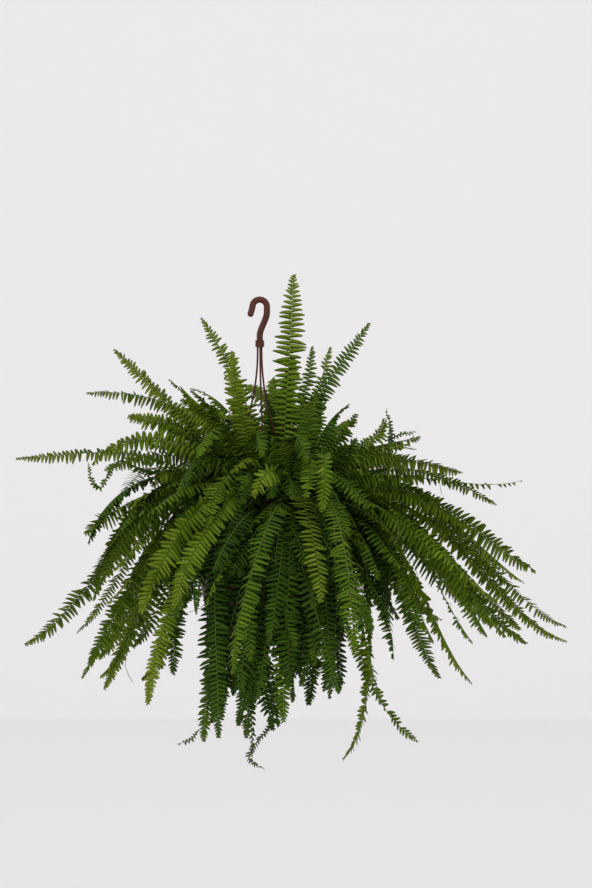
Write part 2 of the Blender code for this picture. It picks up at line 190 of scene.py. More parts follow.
def resampled(points: np.ndarray, count: int) -> np.ndarray:
    """Points spread evenly along a smooth curve through the given points.

    Args:
        points: The curve's own points, (n, 3).
        count: How many points to return.

    Returns:
        (count, 3) points from the first to the last.
    """
    padded = np.vstack((2.0 * points[0] - points[1], points, 2.0 * points[-1] - points[-2]))
    dense = []
    shares = np.linspace(0.0, 1.0, 9)[:-1, None]
    for before, start, end, after in zip(padded, padded[1:], padded[2:], padded[3:]):
        dense.append(0.5 * (
            2.0 * start + (end - before) * shares
            + (2.0 * before - 5.0 * start + 4.0 * end - after) * shares ** 2
            + (3.0 * start - before - 3.0 * end + after) * shares ** 3))
    dense = np.vstack((*dense, points[-1:]))
    travelled = np.concatenate(([0.0], np.cumsum(np.linalg.norm(np.diff(dense, axis=0), axis=1))))
    wanted = np.linspace(0.0, travelled[-1], count)
    return np.stack([np.interp(wanted, travelled, dense[:, axis]) for axis in range(3)], axis=1)


def wall_faces(rows: int, sides: int) -> list[tuple[int, ...]]:
    """The near end and the side faces of a rod, over rings of corners.

    Args:
        rows: How many rings there are.
        sides: How many corners each ring has.

    Returns:
        The faces, as corner numbers; the far end stays open.
    """
    faces: list[tuple[int, ...]] = [tuple(range(sides - 1, -1, -1))]
    for row in range(rows - 1):
        for side in range(sides):
            following = (side + 1) % sides
            low, high = row * sides, (row + 1) * sides
            faces.append((low + side, low + following, high + following, high + side))
    return faces


def turned_faces(rows: int, steps: int) -> list[tuple[int, ...]]:
    """The faces of a turned solid, over rings of points with an apex and a foot after them.

    Args:
        rows: How many rings there are, from the apex down.
        steps: How many points each ring has.

    Returns:
        The faces, as point numbers.
    """
    apex, foot = rows * steps, rows * steps + 1
    last = (rows - 1) * steps
    faces: list[tuple[int, ...]] = []
    for step in range(steps):
        following = (step + 1) % steps
        faces.append((apex, step, following))
        faces.append((foot, last + following, last + step))
        for row in range(rows - 1):
            high, low = row * steps, (row + 1) * steps
            faces.append((high + step, low + step, low + following, high + following))
    return faces


def tube(shape: Shape, route: np.ndarray, radii: np.ndarray | float, sides: int, slot: int = 0,
         tone: np.ndarray | float = 0.5, side_hint: np.ndarray | None = None) -> None:
    """Adds a closed round rod along a route.

    Args:
        shape: Where the rod goes.
        route: The rod's midline, (n, 3).
        radii: Its radius at each point, or everywhere.
        sides: How many sides its section has.
        slot: Which material it takes.
        tone: Its tone at each point of the route, or everywhere.
        side_hint: The direction of the section's first corner at the start.
    """
    count = len(route)
    radii = np.broadcast_to(np.asarray(radii, float), (count,))
    ahead = unit(np.gradient(route, axis=0))
    hint = np.array([0.31, 0.95, 0.08]) if side_hint is None else side_hint
    across = np.empty_like(route)
    for index, direction in enumerate(ahead):
        hint = unit(hint - direction * np.dot(hint, direction))
        across[index] = hint
    over = np.cross(ahead, across)
    turns = np.arange(sides) * 2.0 * math.pi / sides
    ring = (np.cos(turns)[None, :, None] * across[:, None, :]
            + np.sin(turns)[None, :, None] * over[:, None, :])
    points = route[:, None, :] + radii[:, None, None] * ring
    faces = wall_faces(count, sides)
    faces.append(tuple((count - 1) * sides + side for side in range(sides)))
    tones = np.repeat(np.broadcast_to(np.asarray(tone, float), (count,)), sides)
    shape.add(points.reshape(-1, 3), faces, tones, slot)


def lathe(shape: Shape, profile: list[tuple[float, float]], steps: int, centre: np.ndarray,
          slot: int = 0, tone: float = 0.5) -> None:
    """Adds a turned solid whose profile runs down its outer side from axis to axis.

    Args:
        shape: Where the solid goes.
        profile: (radius, height) pairs; the first and last lie on the axis.
        steps: How many steps make the full turn.
        centre: A point on the axis; heights are measured from it.
        slot: Which material it takes.
        tone: The tone of its surface.
    """
    turns = np.arange(steps) * 2.0 * math.pi / steps
    around = np.stack((np.cos(turns), np.sin(turns), np.zeros(steps)), axis=1)
    inner = profile[1:-1]
    rows = [radius * around + height * UP for radius, height in inner]
    points = np.vstack((np.concatenate(rows), [profile[0][1] * UP], [profile[-1][1] * UP])) + centre
    shape.add(points, turned_faces(len(inner), steps), tone, slot)


# ------------------------------------------------------------------ reading the frame
def welded(node: bpy.types.Object) -> tuple[np.ndarray, list[set[int]]]:
    """A frame node's corners with doubles joined, and each corner's neighbours."""
    mesh = node.data
    places = np.array([vertex.co for vertex in mesh.vertices], float)
    keys, numbers = np.unique(np.round(places, 6), axis=0, return_inverse=True)
    numbers = numbers.ravel()
    near: list[set[int]] = [set() for _ in keys]
    for edge in mesh.edges:
        first, second = numbers[edge.vertices[0]], numbers[edge.vertices[1]]
        if first != second:
            near[first].add(second)
            near[second].add(first)
    return keys, near


def rings_from(corners: np.ndarray, near: list[set[int]], first: set[int]) -> list[np.ndarray]:
    """Splits a tube's corners into the rings it was built from, starting at one end.

    Args:
        corners: The tube's corners.
        near: Each corner's neighbours.
        first: The numbers of the corners of the end ring.

    Returns:
        Each ring's corners, from that end to the other.
    """
    seen = set(first)
    ring = set(first)
    rings = [corners[sorted(ring)]]
    while True:
        ring = {other for corner in ring for other in near[corner]} - seen
        if not ring:
            return rings
        seen |= ring
        rings.append(corners[sorted(ring)])


def rod_route(node: bpy.types.Object, from_top: bool) -> tuple[np.ndarray, float]:
    """The midline and radius of a rod in the frame, starting at its flat top or bottom end."""
    corners, near = welded(node)
    heights = corners[:, 2]
    level = heights.max() if from_top else heights.min()
    first = set(np.flatnonzero(np.abs(heights - level) < 2e-5).tolist())
    rings = rings_from(corners, near, first)
    route = np.array([ring.mean(axis=0) for ring in rings])
    middle = rings[len(rings) // 2]
    return route, float(np.linalg.norm(middle - middle.mean(axis=0), axis=1).mean())


@dataclass
class Spine:
    """A frond's midline: evenly spaced places, the blade's left-hand direction and its width."""

    places: np.ndarray
    across: np.ndarray
    width: float

    @property
    def ahead(self) -> np.ndarray:
        """Direction towards the tip at each place."""
        return unit(np.gradient(self.places, axis=0))

    @property
    def length(self) -> float:
        """Length of the midline."""
        return float(np.linalg.norm(np.diff(self.places, axis=0), axis=1).sum())

    def read(self, shares: np.ndarray) -> tuple[np.ndarray, np.ndarray, np.ndarray, np.ndarray]:
        """Places and directions part-way along.

        Args:
            shares: Shares of the length, from 0 at the crown to 1 at the tip.

        Returns:
            Places, directions ahead, directions across and upward normals.
        """
        own = np.linspace(0.0, 1.0, len(self.places))
        blend = [np.stack([np.interp(shares, own, values[:, axis]) for axis in range(3)], axis=1)
                 for values in (self.places, self.ahead, self.across)]
        ahead = unit(blend[1])
        across = unit(blend[2] - ahead * np.sum(blend[2] * ahead, axis=1, keepdims=True))
        return blend[0], ahead, across, np.cross(ahead, across)

    @staticmethod
    def from_node(node: bpy.types.Object, crown: np.ndarray) -> Spine:
        """Reads the midline, roll and width of one frond of the frame.

        Args:
            node: The frond's node.
            crown: The middle of the crown that it grows from.

        Returns:
            The frond's spine.
        """
        corners, near = welded(node)
        base = corners[np.argmin(np.linalg.norm(corners - crown, axis=1))]
        order = np.argsort(np.linalg.norm(corners - base, axis=1))
        rings = rings_from(corners, near, set(order[:3].tolist()))
        widest = max(range(len(rings)), key=lambda number: np.ptp(rings[number], axis=0).sum())
        ring = rings[widest]
        spans = {(first, second): np.linalg.norm(ring[first] - ring[second])
                 for first, second in ((0, 1), (1, 2), (2, 0))}
        pair = max(spans, key=spans.get)
        keel = 3 - sum(pair)
        named: list[np.ndarray | None] = [None] * len(rings)
        named[widest] = ring[[pair[0], pair[1], keel]]
        steps = [(number, number - 1) for number in range(widest + 1, len(rings))]
        steps += [(number, number + 1) for number in range(widest - 1, -1, -1)]
        for number, beside in steps:
            model = unit(named[beside] - named[beside].mean(axis=0))
            options = [rings[number][list(option)] for option in permutations(range(3))]
            named[number] = max(
                options, key=lambda option: float(np.sum(unit(option - option.mean(axis=0)) * model)))
        left = np.array([corner[0] for corner in named])
        right = np.array([corner[1] for corner in named])
        low = np.array([corner[2] for corner in named])
        middle = (left + right) / 2.0
        across = unit(left - right)
        upward = np.cross(unit(np.gradient(middle, axis=0)), across)
        if np.sum(upward * (middle - low)) < 0.0:
            across = -across
        own = np.linspace(0.0, 1.0, len(middle))
        even = np.linspace(0.0, 1.0, MIDLINE_PLACES)
        spread = np.stack([np.interp(even, own, across[:, axis]) for axis in range(3)], axis=1)
        return Spine(resampled(middle, MIDLINE_PLACES), unit(spread), float(max(spans.values())))


# ------------------------------------------------------------------ finishes
class Board:
    """A material's node tree, with short ways to add and join nodes."""

    def __init__(self, name: str) -> None:
        """Makes a material with one Principled shader."""
        self.material = bpy.data.materials.new(name)
        self.material.use_nodes = True
        self.tree = self.material.node_tree
        self.shader = self.tree.nodes["Principled BSDF"]

    def add(self, kind: str, **settings: object) -> bpy.types.Node:
        """Adds a node; settings are its properties, or its inputs by name with _ for spaces."""
        node = self.tree.nodes.new(kind)
        for key, value in settings.items():
            if hasattr(node, key):
                setattr(node, key, value)
            else:
                node.inputs[key.replace("_", " ")].default_value = value
        return node

    def join(self, source: bpy.types.NodeSocket, target: bpy.types.NodeSocket) -> None:
        """Joins an output to an input."""
        self.tree.links.new(source, target)

    def noise(self, scale: float, detail: float = 3.0, stretch: Place = (1.0, 1.0, 1.0),
              ) -> bpy.types.NodeSocket:
        """A noise value in object space, stretched by stretch."""
        place = self.add("ShaderNodeTexCoord")
        shift = self.add("ShaderNodeMapping")
        shift.inputs["Scale"].default_value = stretch
        texture = self.add("ShaderNodeTexNoise", Scale=scale, Detail=detail)
        self.join(place.outputs["Object"], shift.inputs["Vector"])
        self.join(shift.outputs["Vector"], texture.inputs["Vector"])
        return texture.outputs["Fac"]

    def colours(self, value: bpy.types.NodeSocket, stops: list[tuple[float, Colour]],
                ) -> bpy.types.NodeSocket:
        """A colour ramp over a value."""
        node = self.add("ShaderNodeValToRGB")
        ramp_stops = node.color_ramp.elements
        while len(ramp_stops) < len(stops):
            ramp_stops.new(0.5)
        for element, (place, colour) in zip(ramp_stops, stops):
            element.position = place
            element.color = (*colour, 1.0)
        self.join(value, node.inputs["Fac"])
        return node.outputs["Color"]

    def span(self, value: bpy.types.NodeSocket, low: float, high: float) -> bpy.types.NodeSocket:
        """Maps a value from 0..1 to low..high."""
        node = self.add("ShaderNodeMapRange")
        node.inputs["To Min"].default_value = low
        node.inputs["To Max"].default_value = high
        self.join(value, node.inputs["Value"])
        return node.outputs["Result"]

    def sum_of(self, first: bpy.types.NodeSocket, second: bpy.types.NodeSocket, share: float,
               ) -> bpy.types.NodeSocket:
        """first plus share times second."""
        node = self.add("ShaderNodeMath", operation="MULTIPLY_ADD")
        node.inputs[1].default_value = share
        self.join(second, node.inputs[0])
        self.join(first, node.inputs[2])
        return node.outputs[0]

    def bump(self, height: bpy.types.NodeSocket, strength: float, distance: float) -> None:
        """Raises the surface by a height value."""
        node = self.add("ShaderNodeBump", Strength=strength, Distance=distance)
        self.join(height, node.inputs["Height"])
        self.join(node.outputs["Normal"], self.shader.inputs["Normal"])


@dataclass(frozen=True)
class LeafFinish:
    """Soft satin leaf: dark and bright greens by each leaflet's tone, which carries painted light and
    shade, with fine mottling.
    """

    name: str
    deep: Colour
    body: Colour
    fresh: Colour
    tip: Colour
    roughness: float
    specular: float

    def build(self) -> bpy.types.Material:
        """Makes the material."""
        board = Board(self.name)
        tone = board.add("ShaderNodeAttribute", attribute_name=TONE).outputs["Fac"]
        mottle = board.noise(90.0, 4.0)
        broad = board.noise(9.0, 2.0)
        mixed = board.sum_of(board.sum_of(tone, mottle, 0.22), broad, 0.22)
        level = board.add("ShaderNodeMath", operation="SUBTRACT")
        level.inputs[1].default_value = 0.22
        board.join(mixed, level.inputs[0])
        colour = board.colours(level.outputs[0], [
            (0.0, self.deep), (0.42, self.body), (0.74, self.fresh), (1.0, self.tip)])
        board.join(colour, board.shader.inputs["Base Color"])
        board.join(board.span(mottle, self.roughness - 0.08, self.roughness + 0.12),
                   board.shader.inputs["Roughness"])
        board.shader.inputs["Specular IOR Level"].default_value = self.specular
        board.bump(board.noise(700.0, 2.0), 0.25, 0.0006)
        return board.material


@dataclass(frozen=True)
class FibreFinish:
    """Stalks, crown and threads: a stretched grain between two colours, by tone."""

    name: str
    dark: Colour
    light: Colour
    roughness: float
    scale: float

    def build(self) -> bpy.types.Material:
        """Makes the material."""
        board = Board(self.name)
        tone = board.add("ShaderNodeAttribute", attribute_name=TONE).outputs["Fac"]
        grain = board.noise(self.scale, 5.0, (1.0, 1.0, 0.25))
        colour = board.colours(board.sum_of(tone, grain, 0.4), [(0.25, self.dark), (1.0, self.light)])
        board.join(colour, board.shader.inputs["Base Color"])
        board.shader.inputs["Roughness"].default_value = self.roughness
        board.shader.inputs["Specular IOR Level"].default_value = 0.2
        board.bump(grain, 0.5, 0.0008)
        return board.material


@dataclass(frozen=True)
class PlasticFinish:
    """Moulded plastic: slightly clouded colour and gloss, and a fine grain."""

    name: str
    colour: Colour
    clouded: Colour
    roughness: float
    grain: float
    specular: float

    def build(self) -> bpy.types.Material:
        """Makes the material."""
        board = Board(self.name)
        cloud = board.noise(28.0, 5.0)
        colour = board.colours(cloud, [(0.35, self.colour), (0.75, self.clouded)])
        board.join(colour, board.shader.inputs["Base Color"])
        fine = board.noise(900.0, 2.0)
        gloss = board.sum_of(cloud, fine, 0.3)
        board.join(board.span(gloss, self.roughness - 0.1, self.roughness + 0.12),
                   board.shader.inputs["Roughness"])
        board.shader.inputs["Specular IOR Level"].default_value = self.specular
        board.bump(fine, self.grain, 0.0004)
        return board.material


@dataclass(frozen=True)
class SoilFinish:
    """Damp crumbly peat with paler fibres."""

    name: str
    damp: Colour
    crumb: Colour

    def build(self) -> bpy.types.Material:
        """Makes the material."""
        board = Board(self.name)
        crumbs = board.noise(260.0, 6.0)
        colour = board.colours(crumbs, [(0.3, self.damp), (0.8, self.crumb)])
        board.join(colour, board.shader.inputs["Base Color"])
        board.shader.inputs["Roughness"].default_value = 0.95
        board.bump(crumbs, 0.9, 0.003)
        return board.material


@dataclass(frozen=True)
class StageFinish:
    """Plain pale paper for the floor and the backdrop."""

    name: str
    colour: Colour

    def build(self) -> bpy.types.Material:
        """Makes the material."""
        board = Board(self.name)
        board.shader.inputs["Base Color"].default_value = (*self.colour, 1.0)
        board.shader.inputs["Roughness"].default_value = 0.9
        board.shader.inputs["Specular IOR Level"].default_value = 0.1
        return board.material


@dataclass(frozen=True)
class Wardrobe:
    """Every finish of the object, made once."""

    leaf: bpy.types.Material
    stalk: bpy.types.Material
    crown: bpy.types.Material
    soil: bpy.types.Material
    hanger: bpy.types.Material
    pot: bpy.types.Material
    stage: bpy.types.Material
    floor: bpy.types.Material

    @staticmethod
    def build() -> Wardrobe:
        """Makes the materials."""
        return Wardrobe(
            leaf=LeafFinish("fern_leaf", (0.006, 0.024, 0.0005), (0.029, 0.074, 0.001),
                            (0.078, 0.138, 0.002), (0.145, 0.195, 0.012), 0.58, 0.12).build(),
            stalk=FibreFinish("green_stalk", (0.026, 0.022, 0.004), (0.090, 0.135, 0.010),
                              0.60, 160.0).build(),
            crown=FibreFinish("crown_stem", (0.020, 0.012, 0.006), (0.090, 0.055, 0.025),
                              0.85, 220.0).build(),
            soil=SoilFinish("damp_peat", (0.010, 0.007, 0.005), (0.050, 0.034, 0.022)).build(),
            hanger=PlasticFinish("hanger_plastic", (0.050, 0.012, 0.005), (0.082, 0.023, 0.011),
                                 0.40, 0.10, 0.22).build(),
            pot=PlasticFinish("pot_plastic", (0.050, 0.015, 0.009), (0.074, 0.026, 0.016),
                              0.50, 0.22, 0.35).build(),
            stage=StageFinish("pale_paper", (0.914, 0.901, 0.907)).build(),
            floor=StageFinish("pale_board", (0.876, 0.863, 0.869)).build(),
        )


# ------------------------------------------------------------------ fronds
class Habit(Enum):
    """How a frond grows: leaflet pitch in m, width over pitch, lean in degrees, gaps, and a brightness
    that paints light and shade on the frond.
    """

    FULL = (0.0069, 0.82, 12.0, 0.02, 0.00)
    BRIGHT = (0.0080, 0.82, 9.0, 0.00, 0.14)
    SLENDER = (0.0066, 0.76, 17.0, 0.03, 0.02)
    SPARSE = (0.0095, 0.48, 24.0, 0.14, -0.05)
    TWIGGY = (0.0048, 0.75, 20.0, 0.10, 0.00)
    DENSE = (0.0063, 0.92, 14.0, 0.00, 0.10)

    @property
    def pitch(self) -> float:
        """Distance between two leaflets of a row."""
        return self.value[0]

    @property
    def fullness(self) -> float:
        """Leaflet width as a share of the pitch."""
        return self.value[1]

    @property
    def lean(self) -> float:
        """How far the leaflets lean towards the tip, in degrees."""
        return self.value[2]

    @property
    def gaps(self) -> float:
        """The share of leaflets that are missing."""
        return self.value[3]

    @property
    def brightness(self) -> float:
        """What is added to the frond's tone: painted light on fronds that catch more light, painted
        shade where it is below zero.
        """
        return self.value[4]


@dataclass(frozen=True)
class Leaflet:
    """The outline of one leaflet: a blunt blade with an ear at its base and a closed, thin section."""

    stations: tuple[float, ...] = (0.0, 0.07, 0.24, 0.5, 0.76, 0.93)
    halves: tuple[float, ...] = (0.46, 0.58, 0.56, 0.48, 0.35, 0.20)
    thickness: float = 0.00035
    ear: float = 1.20

    def points(self) -> np.ndarray:
        """Corners in a leaflet's own measure: share of length, share of width, curl, thickness sign."""
        rows = []
        for place, half in zip(self.stations, self.halves):
            front = half * (self.ear if place in self.stations[1:2] else 1.0)
            rows += [(place, front, 1.0, 0.0), (place, 0.0, 0.0, 1.0),
                     (place, -half, 1.0, 0.0), (place, 0.0, 0.0, -1.0)]
        rows.append((1.0, 0.0, 0.3, 0.0))
        return np.array(rows)

    def faces(self) -> list[tuple[int, ...]]:
        """The faces over those corners."""
        faces = wall_faces(len(self.stations), 4)
        last = len(self.stations) - 1
        tip = 4 * (last + 1)
        for corner in range(4):
            faces.append((4 * last + corner, 4 * last + (corner + 1) % 4, tip))
        return faces


FINE_LEAFLET = Leaflet()
PLAIN_LEAFLET = Leaflet((0.0, 0.12, 0.48, 0.84), (0.46, 0.60, 0.49, 0.29))


@dataclass
class Frond:
    """One frond: a stalk that runs on as the midrib, and two rows of leaflets."""

    spine: Spine
    habit: Habit
    seed: int
    tone: float = 0.45
    leaflet: Leaflet = FINE_LEAFLET
    unrest: float = 10.0
    stalk_share: float = 0.11
    root_depth: float = 0.014
    tip_margin: float = 0.0015
    length_scatter: float = 0.09
    lean_scatter: float = 6.0
    sag_scatter: float = 9.0

    def pitch_at(self, reach: np.ndarray | float) -> np.ndarray | float:
        """Distance between leaflets, which stand closer where they are short."""
        return self.habit.pitch * (0.30 + 0.70 * reach ** 0.8)

    def leaflet_reach(self, shares: np.ndarray) -> np.ndarray:
        """Each leaflet's length, as a share of the longest, along the frond."""
        return ramp(shares, (0.0, 0.06, 0.18, 0.40, 0.70, 0.86, 0.95, 1.0),
                    (0.50, 0.74, 0.95, 1.04, 1.00, 0.76, 0.44, 0.18))

    def rows(self, draw: np.random.Generator) -> tuple[np.ndarray, np.ndarray]:
        """Where the leaflets stand.

        Args:
            draw: The frond's own random numbers.

        Returns:
            Each leaflet's share of the frond's length, and its side: 1 left, -1 right.
        """
        blade = self.spine.length * (1.0 - self.stalk_share)
        places: list[float] = []
        travelled = self.habit.pitch
        while travelled < blade - self.tip_margin:
            places.append(travelled / blade)
            reach = float(self.leaflet_reach(np.array([travelled / blade]))[0])
            travelled += self.pitch_at(reach)
        left = np.array(places)
        step = np.diff(np.append(left, 1.0)) / 2.0
        shares = np.concatenate((left, np.minimum(left + step, 0.995)))
        sides = np.concatenate((np.ones(len(left)), -np.ones(len(left))))
        kept = draw.random(len(shares)) >= self.habit.gaps
        return shares[kept], sides[kept]

    def grow(self, shape: Shape) -> None:
        """Adds the frond to a shape: leaflets in slot 0, stalk and midrib in slot 1."""
        draw = np.random.default_rng(self.seed)
        shares, sides = self.rows(draw)
        count = len(shares)
        along = self.stalk_share + shares * (1.0 - self.stalk_share)
        place, ahead, across, upward = self.spine.read(along)
        twirl = np.sin(2.0 * math.pi * (shares * draw.uniform(0.5, 1.3) + draw.random()))
        wring = np.radians(self.unrest * twirl)
        across = turned_about(across, ahead, wring)
        upward = turned_about(upward, ahead, wring)
        reach = self.leaflet_reach(shares)
        widest = self.spine.width / 2.0
        length = widest * reach * (1.0 + draw.normal(0.0, self.length_scatter, count))
        width = np.minimum(self.pitch_at(reach) * self.habit.fullness, length * 0.62)
        lean = np.radians(self.habit.lean * (0.3 + 0.9 * shares)
                          + 26.0 * smooth_step((shares - 0.8) / 0.2)
                          + draw.normal(0.0, self.lean_scatter, count))
        outward = across * sides[:, None]
        direction = outward * np.cos(lean)[:, None] + ahead * np.sin(lean)[:, None]
        swell = np.sin(2.0 * math.pi * (shares * draw.uniform(0.7, 1.8) + draw.random()))
        sag = np.radians(draw.uniform(2.0, 16.0) + 0.9 * self.unrest * swell
                         + draw.normal(0.0, self.sag_scatter, count))
        direction = unit(direction * np.cos(sag)[:, None] - upward * np.sin(sag)[:, None])
        normal = unit(upward - direction * np.sum(upward * direction, axis=1, keepdims=True))
        twist = np.radians(draw.uniform(8.0, 22.0) + draw.normal(0.0, 6.0, count)) * sides
        normal = turned_about(normal, direction, -twist)
        forward = np.cross(normal, direction) * sides[:, None]
        bend = draw.uniform(0.06, 0.20) + draw.normal(0.0, 0.05, count)
        hang = np.clip(0.10 + 0.12 * np.abs(outward[:, 2]), 0.0, 0.3)
        part, wide, curl, thick = self.leaflet.points().T
        shift = part[None, :] * length[:, None]
        sweep = wide[None, :] * width[:, None] + 0.05 * part ** 2 * length[:, None]
        points = (
            place[:, None, :]
            + direction[:, None, :] * shift[..., None]
            + forward[:, None, :] * sweep[..., None]
            + normal[:, None, :] * (
                thick[None, :] * self.leaflet.thickness / 2.0
                - curl[None, :] * np.abs(wide)[None, :] * width[:, None] * 0.16
                - bend[:, None] * length[:, None] * part[None, :] ** 2)[..., None]
            - UP * (hang[:, None] * length[:, None] * part[None, :] ** 2)[..., None]
        )
        # The frond's set tone and its habit's brightness carry painted light and shade; the lift towards
        # the tip is the young leaflets' paler green.
        base_tone = self.tone + self.habit.brightness + draw.normal(0.0, 0.05)
        leaf_tone = (base_tone + 0.16 * smooth_step((shares - 0.55) / 0.45)
                     + draw.normal(0.0, 0.06, count))
        tones = leaf_tone[:, None] + 0.05 * part[None, :] + 0.06 * (thick < 0.0)[None, :]
        fronts = self.leaflet.faces()
        mirrored = [face[::-1] for face in fronts]
        for side, faces in ((1.0, fronts), (-1.0, mirrored)):
            chosen = sides == side
            if chosen.any():
                shape.add(points[chosen].reshape(-1, 3), faces, tones[chosen].ravel(),
                          copies=int(chosen.sum()))
        self.grow_midrib(shape, draw)

    def grow_midrib(self, shape: Shape, draw: np.random.Generator) -> None:
        """Adds the stalk and midrib, rooted a little way into the crown."""
        route, ahead, _, _ = self.spine.read(np.linspace(0.0, 0.995, 26))
        root = route[0] - ahead[0] * self.root_depth
        route = np.vstack((root, route))
        shares = np.linspace(0.0, 1.0, len(route))
        thickness = 0.00085 + 0.00055 * draw.random()
        radii = thickness * (1.0 - 0.74 * shares)
        tube(shape, route, radii, 5, 1, 0.10 + 0.45 * smooth_step(shares / 0.35))


@dataclass(frozen=True)
class Arch:
    """An arching midline from the crown to a tip.

    rise and fall are its angles above level at the two ends and roll turns the blade, all in
    degrees. sway bows it sideways, and lift_share and reach_share say how far each end runs
    straight, as shares of the span.
    """

    base: np.ndarray
    tip: np.ndarray
    rise: float
    fall: float
    roll: float
    width: float
    sway: float = 0.0
    lift_share: float = 0.54
    reach_share: float = 0.32

    def spine(self) -> Spine:
        """The arch as a frond's spine."""
        out = self.tip - self.base
        out[2] = 0.0
        out = unit(out)
        span = np.linalg.norm(self.tip - self.base)
        rise, fall = math.radians(self.rise), math.radians(self.fall)
        leave = out * math.cos(rise) + UP * math.sin(rise)
        arrive = out * math.cos(fall) + UP * math.sin(fall)
        aside = np.cross(UP, out) * span * self.sway
        first = self.base + leave * span * self.lift_share + aside
        second = self.tip - arrive * span * self.reach_share + aside * 0.5
        share = np.linspace(0.0, 1.0, MIDLINE_PLACES)[:, None]
        back = 1.0 - share
        places = (self.base * back ** 3 + 3.0 * first * share * back ** 2
                  + 3.0 * second * share ** 2 * back + self.tip * share ** 3)
        ahead = unit(np.gradient(places, axis=0))
        side = np.tile(np.cross(UP, out), (len(places), 1))
        side = unit(side - ahead * np.sum(side * ahead, axis=1, keepdims=True))
        roll = math.radians(self.roll) * smooth_step(share[:, 0] / 0.45)
        return Spine(places, turned_about(side, ahead, roll), self.width)


@dataclass(frozen=True)
class Layer:
    """A storey of inner fronds: the sector they fill, and the ranges of their tips and angles.

    heading and spread are the sector's middle and half angle. reach and height are the tips'
    distances from the pot's axis and heights, and slope and droop shift the heights with place
    and reach. face turns the blades to the viewer, and scatter is how far that varies.
    """

    name: str
    count: int
    heading: float
    spread: float
    reach: tuple[float, float]
    height: tuple[float, float]
    rise: tuple[float, float]
    fall: tuple[float, float]
    width: tuple[float, float]
    tone: float
    face: float = 0.0
    lift: float = 0.54
    slope: float = 0.0
    droop: float = 0.0
    scatter: float = 32.0

    def turn(self, number: int, chance: random.Random) -> float:
        """The heading of one frond, in radians, spread evenly over the sector with some scatter."""
        place = (number * GOLDEN_SHARE + 0.13) % 1.0
        scatter = chance.uniform(-0.5, 0.5) / self.count
        return math.radians(self.heading + self.spread * (2.0 * place - 1.0 + scatter))


